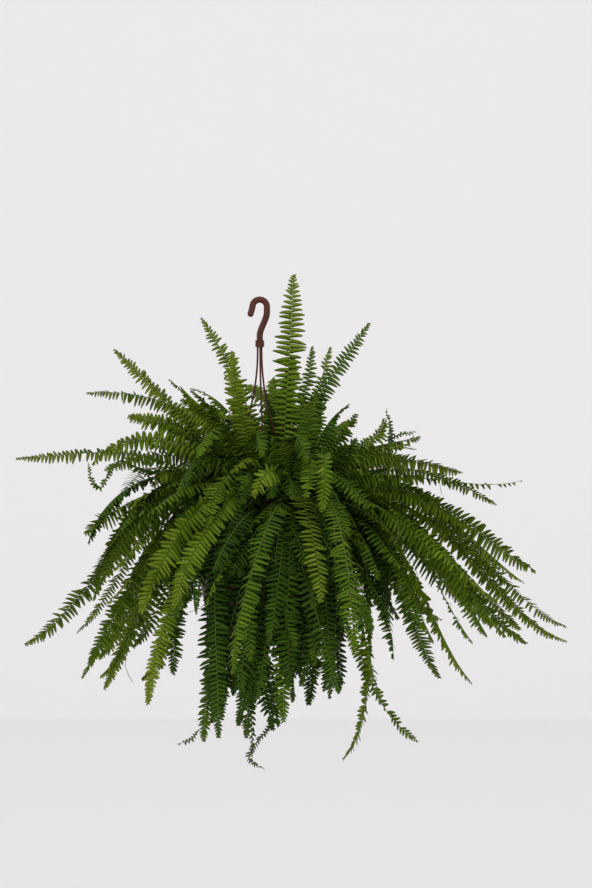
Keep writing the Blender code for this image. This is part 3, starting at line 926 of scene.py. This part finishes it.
# ------------------------------------------------------------------ sub-assemblies
@dataclass
class Foliage:
    """All the fronds: the ones that stand in for the frame's, and the inner ones between them."""

    nodes: dict[str, bpy.types.Object]
    wardrobe: Wardrobe
    crown: np.ndarray
    crown_radius: float
    group_size: int = 8
    sway: float = 0.26
    inner_unrest: float = 25.0
    full_share: float = 0.8
    tone_scatter: float = 0.20

    HABITS = {
        Habit.BRIGHT: (1, 13, 34, 40),
        Habit.DENSE: (6, 9, 11, 18, 19, 20, 26, 27, 28, 29, 30),
        Habit.SLENDER: (2, 3, 4, 5, 7, 10, 12, 16, 22, 23, 25),
        Habit.SPARSE: (21, 36, 38),
    }
    # Set tones of some frame fronds, lighter or darker than the default 0.60: painted light and shade
    # for how brightly each frond is lit.
    TONES = {4: 0.48, 5: 0.52, 27: 0.46, 29: 0.34, 31: 0.44, 32: 0.30, 33: 0.26, 34: 0.36, 35: 0.28,
             37: 0.34, 38: 0.22, 41: 0.50}
    # Storey tones are painted light and shade: front and low storeys such as apron, lining, bib and
    # collar are darker as painted shade, and the side storeys are lighter as painted backlight through
    # the leaves.
    LAYERS = (
        Layer("apron", 28, -95, 30, (0.12, 0.22), (-0.60, -0.52), (56, 70), (-92, -78), (0.034, 0.042),
              0.22, slope=0.30),
        Layer("lining", 14, -89, 42, (0.105, 0.15), (-0.58, -0.46), (58, 70), (-94, -84),
              (0.036, 0.042), 0.12),
        Layer("bib", 24, -92, 72, (0.13, 0.25), (-0.50, -0.36), (58, 78), (-86, -58), (0.034,
              0.042), 0.27),
        Layer("brow", 30, -92, 60, (0.10, 0.21), (-0.36, -0.20), (78, 88), (-84, -30), (0.030, 0.038),
              0.40, lift=1.10),
        Layer("left_shoulder", 26, 182, 44, (0.18, 0.31), (-0.54, -0.24), (52, 70), (-60, -18),
              (0.034, 0.042), 0.58, face=55.0, droop=0.9),
        Layer("left_arches", 7, 184, 26, (0.26, 0.31), (-0.44, -0.35), (56, 66), (-84, -68),
              (0.034, 0.042), 0.56, face=50.0, lift=0.72, scatter=12.0),
        Layer("right_shoulder", 28, -4, 44, (0.18, 0.38), (-0.47, -0.25), (48, 66), (-48, -16),
              (0.034, 0.042), 0.54, face=-55.0, droop=0.7),
        Layer("right_skirt", 14, -22, 36, (0.11, 0.23), (-0.48, -0.38), (52, 68), (-72, -44),
              (0.034, 0.042), 0.30, face=-35.0),
        Layer("right_crest", 16, 8, 52, (0.12, 0.25), (-0.28, -0.20), (56, 72), (-35, 20), (0.030,
              0.038),
              0.52, face=-50.0),
        Layer("back_shoulder", 18, 90, 62, (0.18, 0.33), (-0.48, -0.28), (52, 70), (-60, -25),
              (0.036, 0.042), 0.42),
        Layer("train", 18, 74, 58, (0.12, 0.24), (-0.60, -0.44), (58, 70), (-90, -72), (0.036,
              0.042), 0.30),
        Layer("heart", 34, -40, 180, (0.05, 0.17), (-0.24, -0.12), (74, 86), (20, 80), (0.030,
              0.038), 0.44),
        Layer("crest", 34, 150, 72, (0.11, 0.23), (-0.26, -0.12), (62, 78), (-10, 45), (0.030, 0.038),
              0.50, face=50.0),
        Layer("collar", 24, -60, 180, (0.09, 0.18), (-0.38, -0.27), (66, 82), (-80, -20),
              (0.032, 0.040), 0.24),
    )

    def habit_of(self, number: int) -> Habit:
        """The habit of a frame frond."""
        for habit, numbers in self.HABITS.items():
            if number in numbers:
                return habit
        return Habit.FULL

    def build_outer(self) -> None:
        """Grows a leafy frond in the place of each frond of the frame."""
        names = sorted(name for name in self.nodes if name.startswith("frond_"))
        for name in names:
            number = int(name.split("_")[1])
            spine = Spine.from_node(self.nodes[name], self.crown)
            shape = Shape()
            frond = Frond(spine, self.habit_of(number), 100 + number, self.TONES.get(number, 0.60))
            frond.grow(shape)
            piece = shape.to_object(f"leafy_{name}", [self.wardrobe.leaf, self.wardrobe.stalk])
            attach(piece, "root")
            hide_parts(name)
            LOG.info("%s: %s, %.0f mm long", piece.name, frond.habit.name.lower(), 1000.0 * spine.length)

    def arch_in(self, layer: Layer, number: int, chance: random.Random) -> Arch:
        """One inner frond's arch.

        Args:
            layer: The storey that it belongs to.
            number: Its number in the storey.
            chance: The storey's random numbers.

        Returns:
            The arch.
        """
        turn = layer.turn(number, chance)
        reach = chance.uniform(*layer.reach)
        out = level_heading(turn)
        height = chance.uniform(*layer.height) + layer.slope * out[0] * reach
        height = max(height - layer.droop * (reach - layer.reach[0]), layer.height[0])
        steepness = chance.random()
        rise = layer.rise[0] + (layer.rise[1] - layer.rise[0]) * steepness
        fall = chance.uniform(*layer.fall)
        stand = self.crown_radius * (0.30 + 0.60 * (1.0 - steepness))
        base = self.crown + out * stand
        tip = np.array([self.crown[0], self.crown[1], 0.0]) + out * reach + UP * height
        roll = layer.face * abs(out[0]) + chance.uniform(-layer.scatter, layer.scatter)
        sway = chance.uniform(-self.sway, self.sway)
        return Arch(base, tip, rise, fall, roll, chance.uniform(*layer.width), sway, layer.lift)

    def build_inner(self) -> None:
        """Grows the storeys of inner fronds, a few to a piece."""
        for layer in self.LAYERS:
            chance = random.Random(layer.name)
            for first in range(0, layer.count, self.group_size):
                shape = Shape()
                numbers = range(first, min(first + self.group_size, layer.count))
                for number in numbers:
                    spine = self.arch_in(layer, number, chance).spine()
                    tone = layer.tone + chance.uniform(-self.tone_scatter, self.tone_scatter)
                    habit = Habit.FULL if chance.random() < self.full_share else Habit.SLENDER
                    seed = 1000 + 97 * number + len(layer.name)
                    Frond(spine, habit, seed, tone, PLAIN_LEAFLET, self.inner_unrest).grow(shape)
                piece = shape.to_object(
                    f"{layer.name}_fronds_{first // self.group_size + 1}",
                    [self.wardrobe.leaf, self.wardrobe.stalk])
                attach(piece, "root")
                LOG.info("%s: %d fronds", piece.name, len(numbers))

    def build(self) -> None:
        """Grows everything."""
        self.build_outer()
        self.build_inner()


@dataclass(frozen=True)
class Sprig:
    """A small loose shoot through a few places, with its width, habit and tone."""

    name: str
    places: tuple[Place, ...]
    width: float
    habit: Habit
    tone: float


@dataclass
class Sprigs:
    """Loose ends: curled and trailing shoots, dry stems and hair-thin runners."""

    wardrobe: Wardrobe
    crown: np.ndarray
    crown_radius: float
    runners: int = 26
    runner_places: int = 26
    runner_reach: tuple[float, float] = (0.10, 0.22)
    runner_drop: tuple[float, float] = (-0.16, 0.08)
    runner_radii: tuple[float, float] = (0.0007, 0.0004)
    unrest: float = 30.0
    stalk_share: float = 0.02

    SPRIGS = (
        Sprig("left_curl", ((-0.205, -0.020, -0.232), (-0.222, -0.030, -0.246), (-0.236, -0.034, -0.272),
                            (-0.248, -0.032, -0.268), (-0.256, -0.026, -0.236)),
              0.012, Habit.TWIGGY, 0.50),
        Sprig("low_twig", ((0.036, -0.130, -0.560), (0.022, -0.132, -0.604), (-0.006, -0.130, -0.638),
                           (-0.015, -0.128, -0.662), (0.008, -0.126, -0.678)),
              0.013, Habit.TWIGGY, 0.20),
        Sprig("side_twig", ((0.120, -0.130, -0.440), (0.148, -0.148, -0.500), (0.170, -0.156, -0.556),
                            (0.200, -0.160, -0.598), (0.232, -0.165, -0.626)),
              0.022, Habit.SLENDER, 0.42),
        Sprig("lying_tip", ((-0.086, -0.165, -0.606), (-0.098, -0.168, -0.620), (-0.110, -0.170, -0.624),
                            (-0.118, -0.171, -0.626)), 0.009, Habit.TWIGGY, 0.30),
        Sprig("top_sprig", ((0.196, 0.060, -0.245), (0.200, 0.062, -0.215), (0.196, 0.064, -0.186),
                            (0.192, 0.066, -0.166)), 0.013, Habit.TWIGGY, 0.42),
        Sprig("right_sprig", ((0.190, 0.050, -0.215), (0.212, 0.052, -0.205), (0.228, 0.054, -0.203),
                              (0.238, 0.056, -0.200)), 0.010, Habit.TWIGGY, 0.42),
        Sprig("bright_curl", ((0.034, -0.095, -0.256), (0.024, -0.150, -0.230), (0.008, -0.180, -0.234),
                              (-0.004, -0.186, -0.262)), 0.034, Habit.DENSE, 0.62),
        Sprig("front_tongue", ((0.086, -0.080, -0.232), (0.093, -0.150, -0.208), (0.095, -0.174, -0.236),
                               (0.090, -0.180, -0.284)), 0.028, Habit.DENSE, 0.56),
        Sprig("front_band_1", ((-0.040, -0.080, -0.262), (-0.086, -0.155, -0.284),
                               (-0.130, -0.196, -0.345),
                               (-0.166, -0.208, -0.424)), 0.042, Habit.DENSE, 0.60),
        Sprig("front_band_2", ((-0.016, -0.080, -0.258), (-0.058, -0.170, -0.290),
                               (-0.096, -0.212, -0.350),
                               (-0.118, -0.220, -0.412)), 0.036, Habit.DENSE, 0.50),
        # pot_veil's very low tone is painted shade over the front of the pot.
        Sprig("pot_veil", ((-0.076, -0.080, -0.268), (-0.110, -0.130, -0.320), (-0.121, -0.142, -0.420),
                           (-0.124, -0.144, -0.530)), 0.038, Habit.DENSE, 0.10),
        Sprig("dry_sprig", ((0.022, 0.028, -0.250), (0.024, 0.026, -0.200), (0.016, 0.024, -0.160),
                            (0.008, 0.020, -0.132)), 0.012, Habit.TWIGGY, -0.10),
    )

    def build_sprigs(self) -> None:
        """Grows the loose shoots, as one piece."""
        shape = Shape()
        for number, sprig in enumerate(self.SPRIGS):
            places = resampled(np.array(sprig.places), MIDLINE_PLACES)
            ahead = unit(np.gradient(places, axis=0))
            side = np.cross(ahead, np.array([0.15, -1.0, 0.25]))
            spine = Spine(places, unit(side), sprig.width)
            Frond(spine, sprig.habit, 4000 + number, sprig.tone, PLAIN_LEAFLET, self.unrest,
                  self.stalk_share, root_depth=0.0).grow(shape)
            LOG.info("sprig %s", sprig.name)
        self.finish_piece(shape, "loose_sprigs")

    def build_runners(self) -> None:
        """Makes hair-thin runners that arch out of the crown and hang through the leaves."""
        shape = Shape()
        draw = np.random.default_rng(23)
        for number in range(self.runners):
            turn = GOLDEN_ANGLE * number + 0.4
            out = level_heading(turn)
            side = np.array([-out[1], out[0], 0.0])
            reach = draw.uniform(*self.runner_reach)
            drop = draw.uniform(*self.runner_drop)
            start = self.crown + out * self.crown_radius * 0.8 - UP * 0.008
            places = np.array([
                start, start + out * reach * 0.35 + UP * 0.06,
                start + out * reach * 0.75 + UP * (0.05 + 0.4 * drop) + side * draw.normal(0.0, 0.012),
                start + out * reach + UP * drop + side * draw.normal(0.0, 0.02),
                start + out * reach * 1.05 + UP * (drop - 0.03) + side * draw.normal(0.0, 0.03)])
            route = resampled(places, self.runner_places)
            radii = np.linspace(*self.runner_radii, self.runner_places)
            tube(shape, route, radii, 4, 1, draw.uniform(0.1, 0.5))
        self.finish_piece(shape, "runners")

    def finish_piece(self, shape: Shape, name: str) -> None:
        """Turns a shape into one riding piece."""
        piece = shape.to_object(name, [self.wardrobe.leaf, self.wardrobe.stalk])
        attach(piece, "root")
        LOG.info("%s: %d faces", name, len(piece.data.polygons))

    def build(self) -> None:
        """Makes the shoots and the runners."""
        self.build_sprigs()
        self.build_runners()


@dataclass
class Crown:
    """The clump of stem bases that the fronds grow from, with brown fibres."""

    wardrobe: Wardrobe
    stubs: int = 70
    fibres: int = 140
    rows: int = 10
    steps: int = 40
    mound_height: float = 0.9
    mound_width: float = 0.94
    stub_length: tuple[float, float] = (0.006, 0.014)
    stub_radii: tuple[float, float, float] = (0.0026, 0.0019, 0.0013)
    fibre_length: tuple[float, float] = (0.008, 0.020)
    fibre_radii: tuple[float, float] = (0.0004, 0.0001)

    def build(self) -> None:
        """Makes the mound, its stubs and its fibres as one piece."""
        low, high = (np.array(corner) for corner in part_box("crown"))
        middle = (low + high) / 2.0
        radius = (high[0] - low[0]) / 2.0
        height = high[2] - low[2]
        centre = np.array([middle[0], middle[1], low[2]])
        shape = Shape()
        profile = [(0.0, self.mound_height * height)]
        for row in range(1, self.rows + 1):
            turn = math.pi / 2.0 * (1.0 - row / self.rows)
            profile.append((self.mound_width * radius * math.cos(turn),
                            self.mound_height * height * math.sin(turn)))
        profile.append((0.0, 0.0))
        lathe(shape, profile, self.steps, centre, 0, 0.15)
        draw = np.random.default_rng(7)
        for number in range(self.stubs + self.fibres):
            stub = number < self.stubs
            spread = math.sqrt((number + 0.5) / self.stubs) if stub else math.sqrt(draw.random())
            turn = GOLDEN_ANGLE * number
            out = level_heading(turn)
            reach = min(spread, 0.97) * radius * 0.92
            foot = centre + out * reach + UP * height * 0.8 * math.sqrt(max(0.0, 1.0 - spread ** 2))
            lean = unit(out * (0.3 + spread) + UP * (1.2 - 0.6 * spread) + draw.normal(0.0, 0.22, 3))
            if stub:
                length = draw.uniform(*self.stub_length)
                route = np.array([foot, foot + lean * length * 0.5, foot + lean * length])
                tube(shape, route, np.array(self.stub_radii), 7, 0, draw.uniform(0.2, 0.8))
            else:
                length = draw.uniform(*self.fibre_length)
                side = unit(np.cross(lean, draw.normal(0.0, 1.0, 3))) * length * 0.35
                shares = np.linspace(0.0, 1.0, 4)[:, None]
                route = foot + lean * length * shares + side * shares ** 2
                tube(shape, route, np.linspace(*self.fibre_radii, 4), 4, 0, draw.uniform(0.5, 1.1))
        piece = shape.to_object("crown_clump", [self.wardrobe.crown])
        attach(piece, "root")
        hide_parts("crown")
        LOG.info("%s: %d stubs and %d fibres", piece.name, self.stubs, self.fibres)


@dataclass
class Soil:
    """The root ball with its lumpy top and peat crumbs."""

    wardrobe: Wardrobe
    rings: int = 26
    steps: int = 96
    crumbs: int = 420
    lump: float = 0.0016
    taper: float = 0.76
    edge_drop: float = 0.004
    shoulder: float = 0.012
    crumb_size: tuple[float, float] = (0.0007, 0.0024)
    crumb_sink: float = 0.0018

    def build(self) -> None:
        """Makes the root ball as one piece."""
        low, high = (np.array(corner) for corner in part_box("root_ball"))
        top, bottom = high[2], low[2]
        outer = (high[0] - low[0]) / 2.0
        floor_radius = outer * self.taper
        draw = np.random.default_rng(11)
        waves = [(draw.uniform(40.0, 260.0), draw.uniform(0.0, 6.3), draw.uniform(0.0, 6.3))
                 for _ in range(9)]

        def rise_at(across: float, along: float) -> float:
            """Height of the lumps at a spot."""
            total = 0.0
            for rate, turn, phase in waves:
                total += math.sin(rate * (across * math.cos(turn) + along * math.sin(turn)) + phase)
            return self.lump * total / 3.0 - self.lump

        rows = []
        for ring in range(1, self.rings + 1):
            radius = 0.985 * outer * ring / self.rings
            for step in range(self.steps):
                turn = 2.0 * math.pi * step / self.steps
                across, along = radius * math.cos(turn), radius * math.sin(turn)
                edge = self.edge_drop * smooth_step((ring / self.rings - 0.9) / 0.1)
                rows.append((across, along, top + min(rise_at(across, along), 0.0) - edge))
        for radius, height in ((0.97 * outer, top - self.shoulder), (floor_radius, bottom)):
            for step in range(self.steps):
                turn = 2.0 * math.pi * step / self.steps
                rows.append((radius * math.cos(turn), radius * math.sin(turn), height))
        points = np.vstack((rows, [(0.0, 0.0, top - self.lump)], [(0.0, 0.0, bottom)]))
        shape = Shape()
        shape.add(points, turned_faces(self.rings + 2, self.steps), 0.4)
        self.add_crumbs(shape, top, outer, draw)
        piece = shape.to_object("soil_surface", [self.wardrobe.soil])
        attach(piece, "root")
        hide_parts("root_ball")
        LOG.info("%s: %d crumbs", piece.name, self.crumbs)

    def add_crumbs(self, shape: Shape, top: float, outer: float, draw: np.random.Generator) -> None:
        """Scatters small eight-sided crumbs over the top."""
        corners = np.array([(1, 0, 0), (-1, 0, 0), (0, 1, 0), (0, -1, 0), (0, 0, 1), (0, 0, -1)], float)
        faces = [(0, 2, 4), (2, 1, 4), (1, 3, 4), (3, 0, 4), (2, 0, 5), (1, 2, 5), (3, 1, 5), (0, 3, 5)]
        radius = 0.96 * outer * np.sqrt(draw.random(self.crumbs))
        turn = draw.uniform(0.0, 2.0 * math.pi, self.crumbs)
        sizes = draw.uniform(*self.crumb_size, (self.crumbs, 1, 1))
        sizes = sizes * draw.uniform(0.7, 1.3, (self.crumbs, 6, 1))
        middle = np.stack((radius * np.cos(turn), radius * np.sin(turn),
                           np.full(self.crumbs, top - self.crumb_sink)), axis=1)
        points = middle[:, None, :] + corners[None] * sizes
        shape.add(points.reshape(-1, 3), faces, 0.7, copies=self.crumbs)


@dataclass
class Pot:
    """The hanging pot: tapered shell, rolled rim, two raised bands and a drained foot."""

    wardrobe: Wardrobe
    steps: int = 120
    wall: float = 0.0022
    lip: float = 0.0045
    rim_height: float = 0.014
    band: float = 0.0007
    hole_radius: float = 0.006
    hole_circle: float = 0.050
    holes: int = 4
    floor: float = 0.003
    base_share: float = 0.0775 / 0.105
    rim_steps: int = 10
    bands: tuple[float, float] = (0.30, 0.36)
    cutter_reach: float = 0.03
    sharp_angle: float = 42.0

    def profile(self, low: np.ndarray, high: np.ndarray) -> list[tuple[float, float]]:
        """The shell's outline, from the inside floor over the rim to the underside.

        Args:
            low: The frame pot's lowest corner.
            high: The frame pot's highest corner.

        Returns:
            (radius, height) pairs with heights in the frame.
        """
        rim, base = high[2], low[2]
        outer = (high[0] - low[0]) / 2.0
        base_radius = outer * self.base_share
        under = rim - self.rim_height
        inner = outer - self.lip
        half = self.lip / 2.0
        outline = [(0.0, base + self.floor), (base_radius - self.wall - 0.002, base + self.floor),
                   (base_radius - self.wall, base + self.floor + 0.002), (inner, under)]
        for step in range(self.rim_steps + 1):
            turn = math.pi * (1.0 - step / self.rim_steps)
            outline.append((outer - half + half * math.cos(turn), rim - half + half * math.sin(turn)))
        outline += [(outer, under + 0.001), (outer - 0.0006, under),
                    (inner + self.wall + 0.0004, under - 0.0030)]

        def side_at(share: float) -> float:
            """Radius of the plain outer wall, from under the rim (0) to the base (1)."""
            return inner + self.wall + (base_radius - inner - self.wall) * share

        depth = under - 0.003 - base
        for centre in self.bands:
            for shift, out in ((-0.012, 0.0), (-0.006, self.band), (0.006, self.band), (0.012, 0.0)):
                share = centre + shift
                outline.append((side_at(share) + out, under - 0.003 - depth * share))
        outline += [(base_radius, base + 0.004), (base_radius, base + 0.0015),
                    (base_radius - 0.0005, base + 0.0004), (base_radius - 0.002, base), (0.0, base)]
        return outline

    def build(self) -> None:
        """Makes the pot and cuts its drain holes."""
        low, high = (np.array(corner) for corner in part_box("pot"))
        shape = Shape()
        lathe(shape, self.profile(low, high), self.steps, np.zeros(3))
        piece = shape.to_object("pot_shell", [self.wardrobe.pot])
        for number in range(self.holes):
            turn = number * 2.0 * math.pi / self.holes
            cutter_shape = Shape()
            foot = low[2] * UP
            route = np.array([foot + self.cutter_reach * UP, foot - self.cutter_reach * UP])
            route += level_heading(turn) * self.hole_circle
            tube(cutter_shape, route, self.hole_radius, 28)
            cutter = cutter_shape.to_object(f"drain_cutter_{number}", [self.wardrobe.pot])
            cut = piece.modifiers.new("drain", "BOOLEAN")
            cut.operation = "DIFFERENCE"
            cut.object = cutter
        freeze(piece, [modifier.object for modifier in piece.modifiers])
        piece.data.set_sharp_from_angle(angle=math.radians(self.sharp_angle))
        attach(piece, "root")
        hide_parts("pot")
        LOG.info("%s: %d faces", piece.name, len(piece.data.polygons))


def freeze(piece: bpy.types.Object, helpers: list[bpy.types.Object]) -> None:
    """Applies a piece's modifiers and removes the helpers that they used."""
    graph = bpy.context.evaluated_depsgraph_get()
    mesh = bpy.data.meshes.new_from_object(piece.evaluated_get(graph))
    piece.modifiers.clear()
    old = piece.data
    piece.data = mesh
    mesh.name = piece.name
    bpy.data.meshes.remove(old)
    for helper in helpers:
        bpy.data.objects.remove(helper, do_unlink=True)


@dataclass
class Hanger:
    """The moulded hanger: hook with a round tip, ribbed collar, three strands and rim clips."""

    nodes: dict[str, bpy.types.Object]
    wardrobe: Wardrobe
    strands: int = 3
    hook_places: int = 90
    hook_sides: int = 28
    dome_rows: int = 6
    fillet: float = 0.0012
    fillet_steps: int = 4
    strand_places: int = 60
    strand_sides: int = 14
    strand_swell: float = 1.08
    clip_edge: float = 0.0005
    weld_distance: float = 0.00002
    sharp_angle: float = 40.0

    def finish_piece(self, shape: Shape, name: str, node: str) -> bpy.types.Object:
        """Turns a shape into a piece that stands for a frame node."""
        piece = shape.to_object(name, [self.wardrobe.hanger])
        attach(piece, "root")
        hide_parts(node)
        LOG.info("%s for %s", name, node)
        return piece

    def build_hook(self) -> None:
        """The hook: a round rod with a domed tip."""
        route, radius = rod_route(self.nodes["hanger_hook"], from_top=False)
        fine = resampled(route, self.hook_places)
        tip_dir = unit(fine[-1] - fine[-2])
        dome_steps = np.linspace(0.0, math.pi / 2.0, self.dome_rows + 2)[1:-1]
        start = fine[-1] - tip_dir * radius
        keep = np.linalg.norm(fine - fine[-1], axis=1) > radius
        cap = np.array([start + tip_dir * radius * math.sin(step) for step in dome_steps])
        rod = np.vstack((fine[keep], start))
        radii = np.concatenate((np.full(len(rod), radius), radius * np.cos(dome_steps)))
        shape = Shape()
        tube(shape, np.vstack((rod, cap)), radii, self.hook_sides, side_hint=np.array([1.0, 0.0, 0.0]))
        self.finish_piece(shape, "hook_rod", "hanger_hook")

    def build_collar(self) -> None:
        """The collar: a turned ring with two grooves."""
        low, high = (np.array(corner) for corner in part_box("hanger_collar"))
        radius = (high[0] - low[0]) / 2.0
        height = high[2] - low[2]
        shoulder = radius - self.fillet
        turns = [math.pi / 2.0 * step / self.fillet_steps for step in range(self.fillet_steps + 1)]
        outline = [(0.0, high[2])]
        for turn in turns:
            outline.append((shoulder + self.fillet * math.sin(turn),
                            high[2] - self.fillet + self.fillet * math.cos(turn)))
        for share in (0.36, 0.64):
            middle = high[2] - height * share
            for shift, depth in ((0.0007, 0.0), (0.0004, 0.0005), (-0.0004, 0.0005), (-0.0007, 0.0)):
                outline.append((radius - depth, middle + shift))
        for turn in turns:
            outline.append((shoulder + self.fillet * math.cos(turn),
                            low[2] + self.fillet - self.fillet * math.sin(turn)))
        outline.append((0.0, low[2]))
        shape = Shape()
        centre = np.array([(low[0] + high[0]) / 2.0, (low[1] + high[1]) / 2.0, 0.0])
        lathe(shape, outline, 48, centre)
        self.finish_piece(shape, "hanger_ring", "hanger_collar")

    def build_strand(self, number: int) -> None:
        """One strand, a little thicker where it meets the collar and the clip."""
        node = f"hanger_strand_{number}"
        route, radius = rod_route(self.nodes[node], from_top=True)
        fine = resampled(route, self.strand_places)
        shares = np.linspace(0.0, 1.0, len(fine))
        ends = np.maximum(1.0 - shares / 0.03, 0.0) + np.maximum(1.0 - (1.0 - shares) / 0.03, 0.0)
        shape = Shape()
        radii = radius * (self.strand_swell + 0.06 * np.minimum(ends, 1.0))
        tube(shape, fine, radii, self.strand_sides)
        self.finish_piece(shape, f"strand_{number}", node)

    def build_clip(self, number: int) -> None:
        """One rim clip: the frame's saddle with softened edges."""
        node = f"rim_clip_{number}"
        mesh = self.nodes[node].data.copy()
        mesh.name = f"clip_{number}"
        piece = bpy.data.objects.new(f"clip_{number}", mesh)
        bpy.context.scene.collection.objects.link(piece)
        mesh.materials.clear()
        mesh.materials.append(self.wardrobe.hanger)
        weld = piece.modifiers.new("weld", "WELD")
        weld.merge_threshold = self.weld_distance
        soften = piece.modifiers.new("soften", "BEVEL")
        soften.width = self.clip_edge
        soften.segments = 3
        soften.limit_method = "ANGLE"
        freeze(piece, [])
        piece.data.shade_smooth()
        piece.data.set_sharp_from_angle(angle=math.radians(self.sharp_angle))
        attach(piece, "root")
        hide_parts(node)
        LOG.info("%s for %s", piece.name, node)

    def build(self) -> None:
        """Makes the whole hanger."""
        self.build_hook()
        self.build_collar()
        for number in range(1, self.strands + 1):
            self.build_strand(number)
            self.build_clip(number)


@dataclass
class Studio:
    """A pale floor and backdrop, soft light and the camera."""

    low: Vector
    high: Vector
    wardrobe: Wardrobe
    distance: float = 3.0
    elevation: float = 8.0
    lens: float = 81.0
    aim: tuple[float, float] = (0.054, -0.212)
    floor_gap: float = 1.95
    wall: float = 7.0
    crease: float = 0.002
    crease_steps: int = 16
    half: float = 22.0
    top: float = 14.0
    surround: float = 0.92

    LIGHTS = (
        ("key_light", (-2.0, -2.4, 0.6), 2.2, 20.0),
        ("fill_light", (2.4, -2.4, -0.3), 2.2, 14.0),
        ("top_light", (0.0, -0.8, 1.8), 1.6, 16.0),
    )

    def build_stage(self) -> None:
        """A floor that turns up into the backdrop over a tight crease."""
        floor = self.low.z - self.floor_gap
        back, bend = self.wall - self.crease, self.crease
        outline = [(-self.half, floor), (back, floor)]
        for step in range(1, self.crease_steps + 1):
            turn = math.pi / 2.0 * step / self.crease_steps
            outline.append((back + bend * math.sin(turn), floor + bend * (1.0 - math.cos(turn))))
        outline.append((back + bend, self.top))
        points = np.array([(side, along, height) for along, height in outline
                           for side in (-self.half, self.half)])
        faces = [(2 * row, 2 * row + 1, 2 * row + 3, 2 * row + 2) for row in range(len(outline) - 1)]
        shape = Shape()
        shape.add(points, faces)
        sweep = shape.to_object("studio_sweep", [self.wardrobe.stage, self.wardrobe.floor])
        sweep.data.polygons[0].material_index = 1
        sweep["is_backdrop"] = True

    def add_light(self, name: str, place: Vector, size: float, power: float) -> None:
        """A square soft light aimed at the middle of the plant."""
        data = bpy.data.lights.new(name, "AREA")
        data.shape = "SQUARE"
        data.size = size
        data.energy = power
        lamp = bpy.data.objects.new(name, data)
        bpy.context.scene.collection.objects.link(lamp)
        middle = (self.low + self.high) / 2.0
        lamp.location = place
        lamp.rotation_euler = (middle - place).to_track_quat("-Z", "Y").to_euler()

    def build_lights(self) -> None:
        """Soft key, fill and top light, and a pale surround."""
        for name, place, size, power in self.LIGHTS:
            self.add_light(name, Vector(place), size, power)
        world = bpy.data.worlds.new("studio")
        world.use_nodes = True
        sky = world.node_tree.nodes["Background"]
        sky.inputs["Color"].default_value = (1.0, 1.0, 1.0, 1.0)
        sky.inputs["Strength"].default_value = self.surround
        bpy.context.scene.world = world

    def build_camera(self) -> None:
        """The camera, a little above level, looking at the middle of the plant."""
        data = bpy.data.cameras.new("view")
        data.lens = self.lens
        camera = bpy.data.objects.new("view", data)
        bpy.context.scene.collection.objects.link(camera)
        target = Vector((self.aim[0], 0.0, self.aim[1]))
        tilt = math.radians(self.elevation)
        camera.location = target + Vector((0.0, -math.cos(tilt), math.sin(tilt))) * self.distance
        camera.rotation_euler = (target - camera.location).to_track_quat("-Z", "Y").to_euler()
        bpy.context.scene.camera = camera

    def build(self) -> None:
        """Sets up the stage, the lights and the camera."""
        bpy.context.scene.view_settings.view_transform = "Standard"
        self.build_stage()
        self.build_lights()
        self.build_camera()


def main() -> None:
    """Loads the frame and dresses it, sub-assembly by sub-assembly."""
    logging.basicConfig(level=logging.INFO, format="%(name)s: %(message)s")
    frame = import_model()
    frame_low, frame_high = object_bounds()
    wardrobe = Wardrobe.build()
    Studio(Vector(frame_low), Vector(frame_high), wardrobe).build()
    crown_low, crown_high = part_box("crown")
    crown = np.array((crown_low + crown_high) / 2.0)
    Hanger(frame["nodes"], wardrobe).build()
    Pot(wardrobe).build()
    Soil(wardrobe).build()
    Crown(wardrobe).build()
    crown_radius = (crown_high.x - crown_low.x) / 2.0
    Foliage(frame["nodes"], wardrobe, crown, crown_radius).build()
    Sprigs(wardrobe, crown, crown_radius).build()


if __name__ == "__main__":
    main()
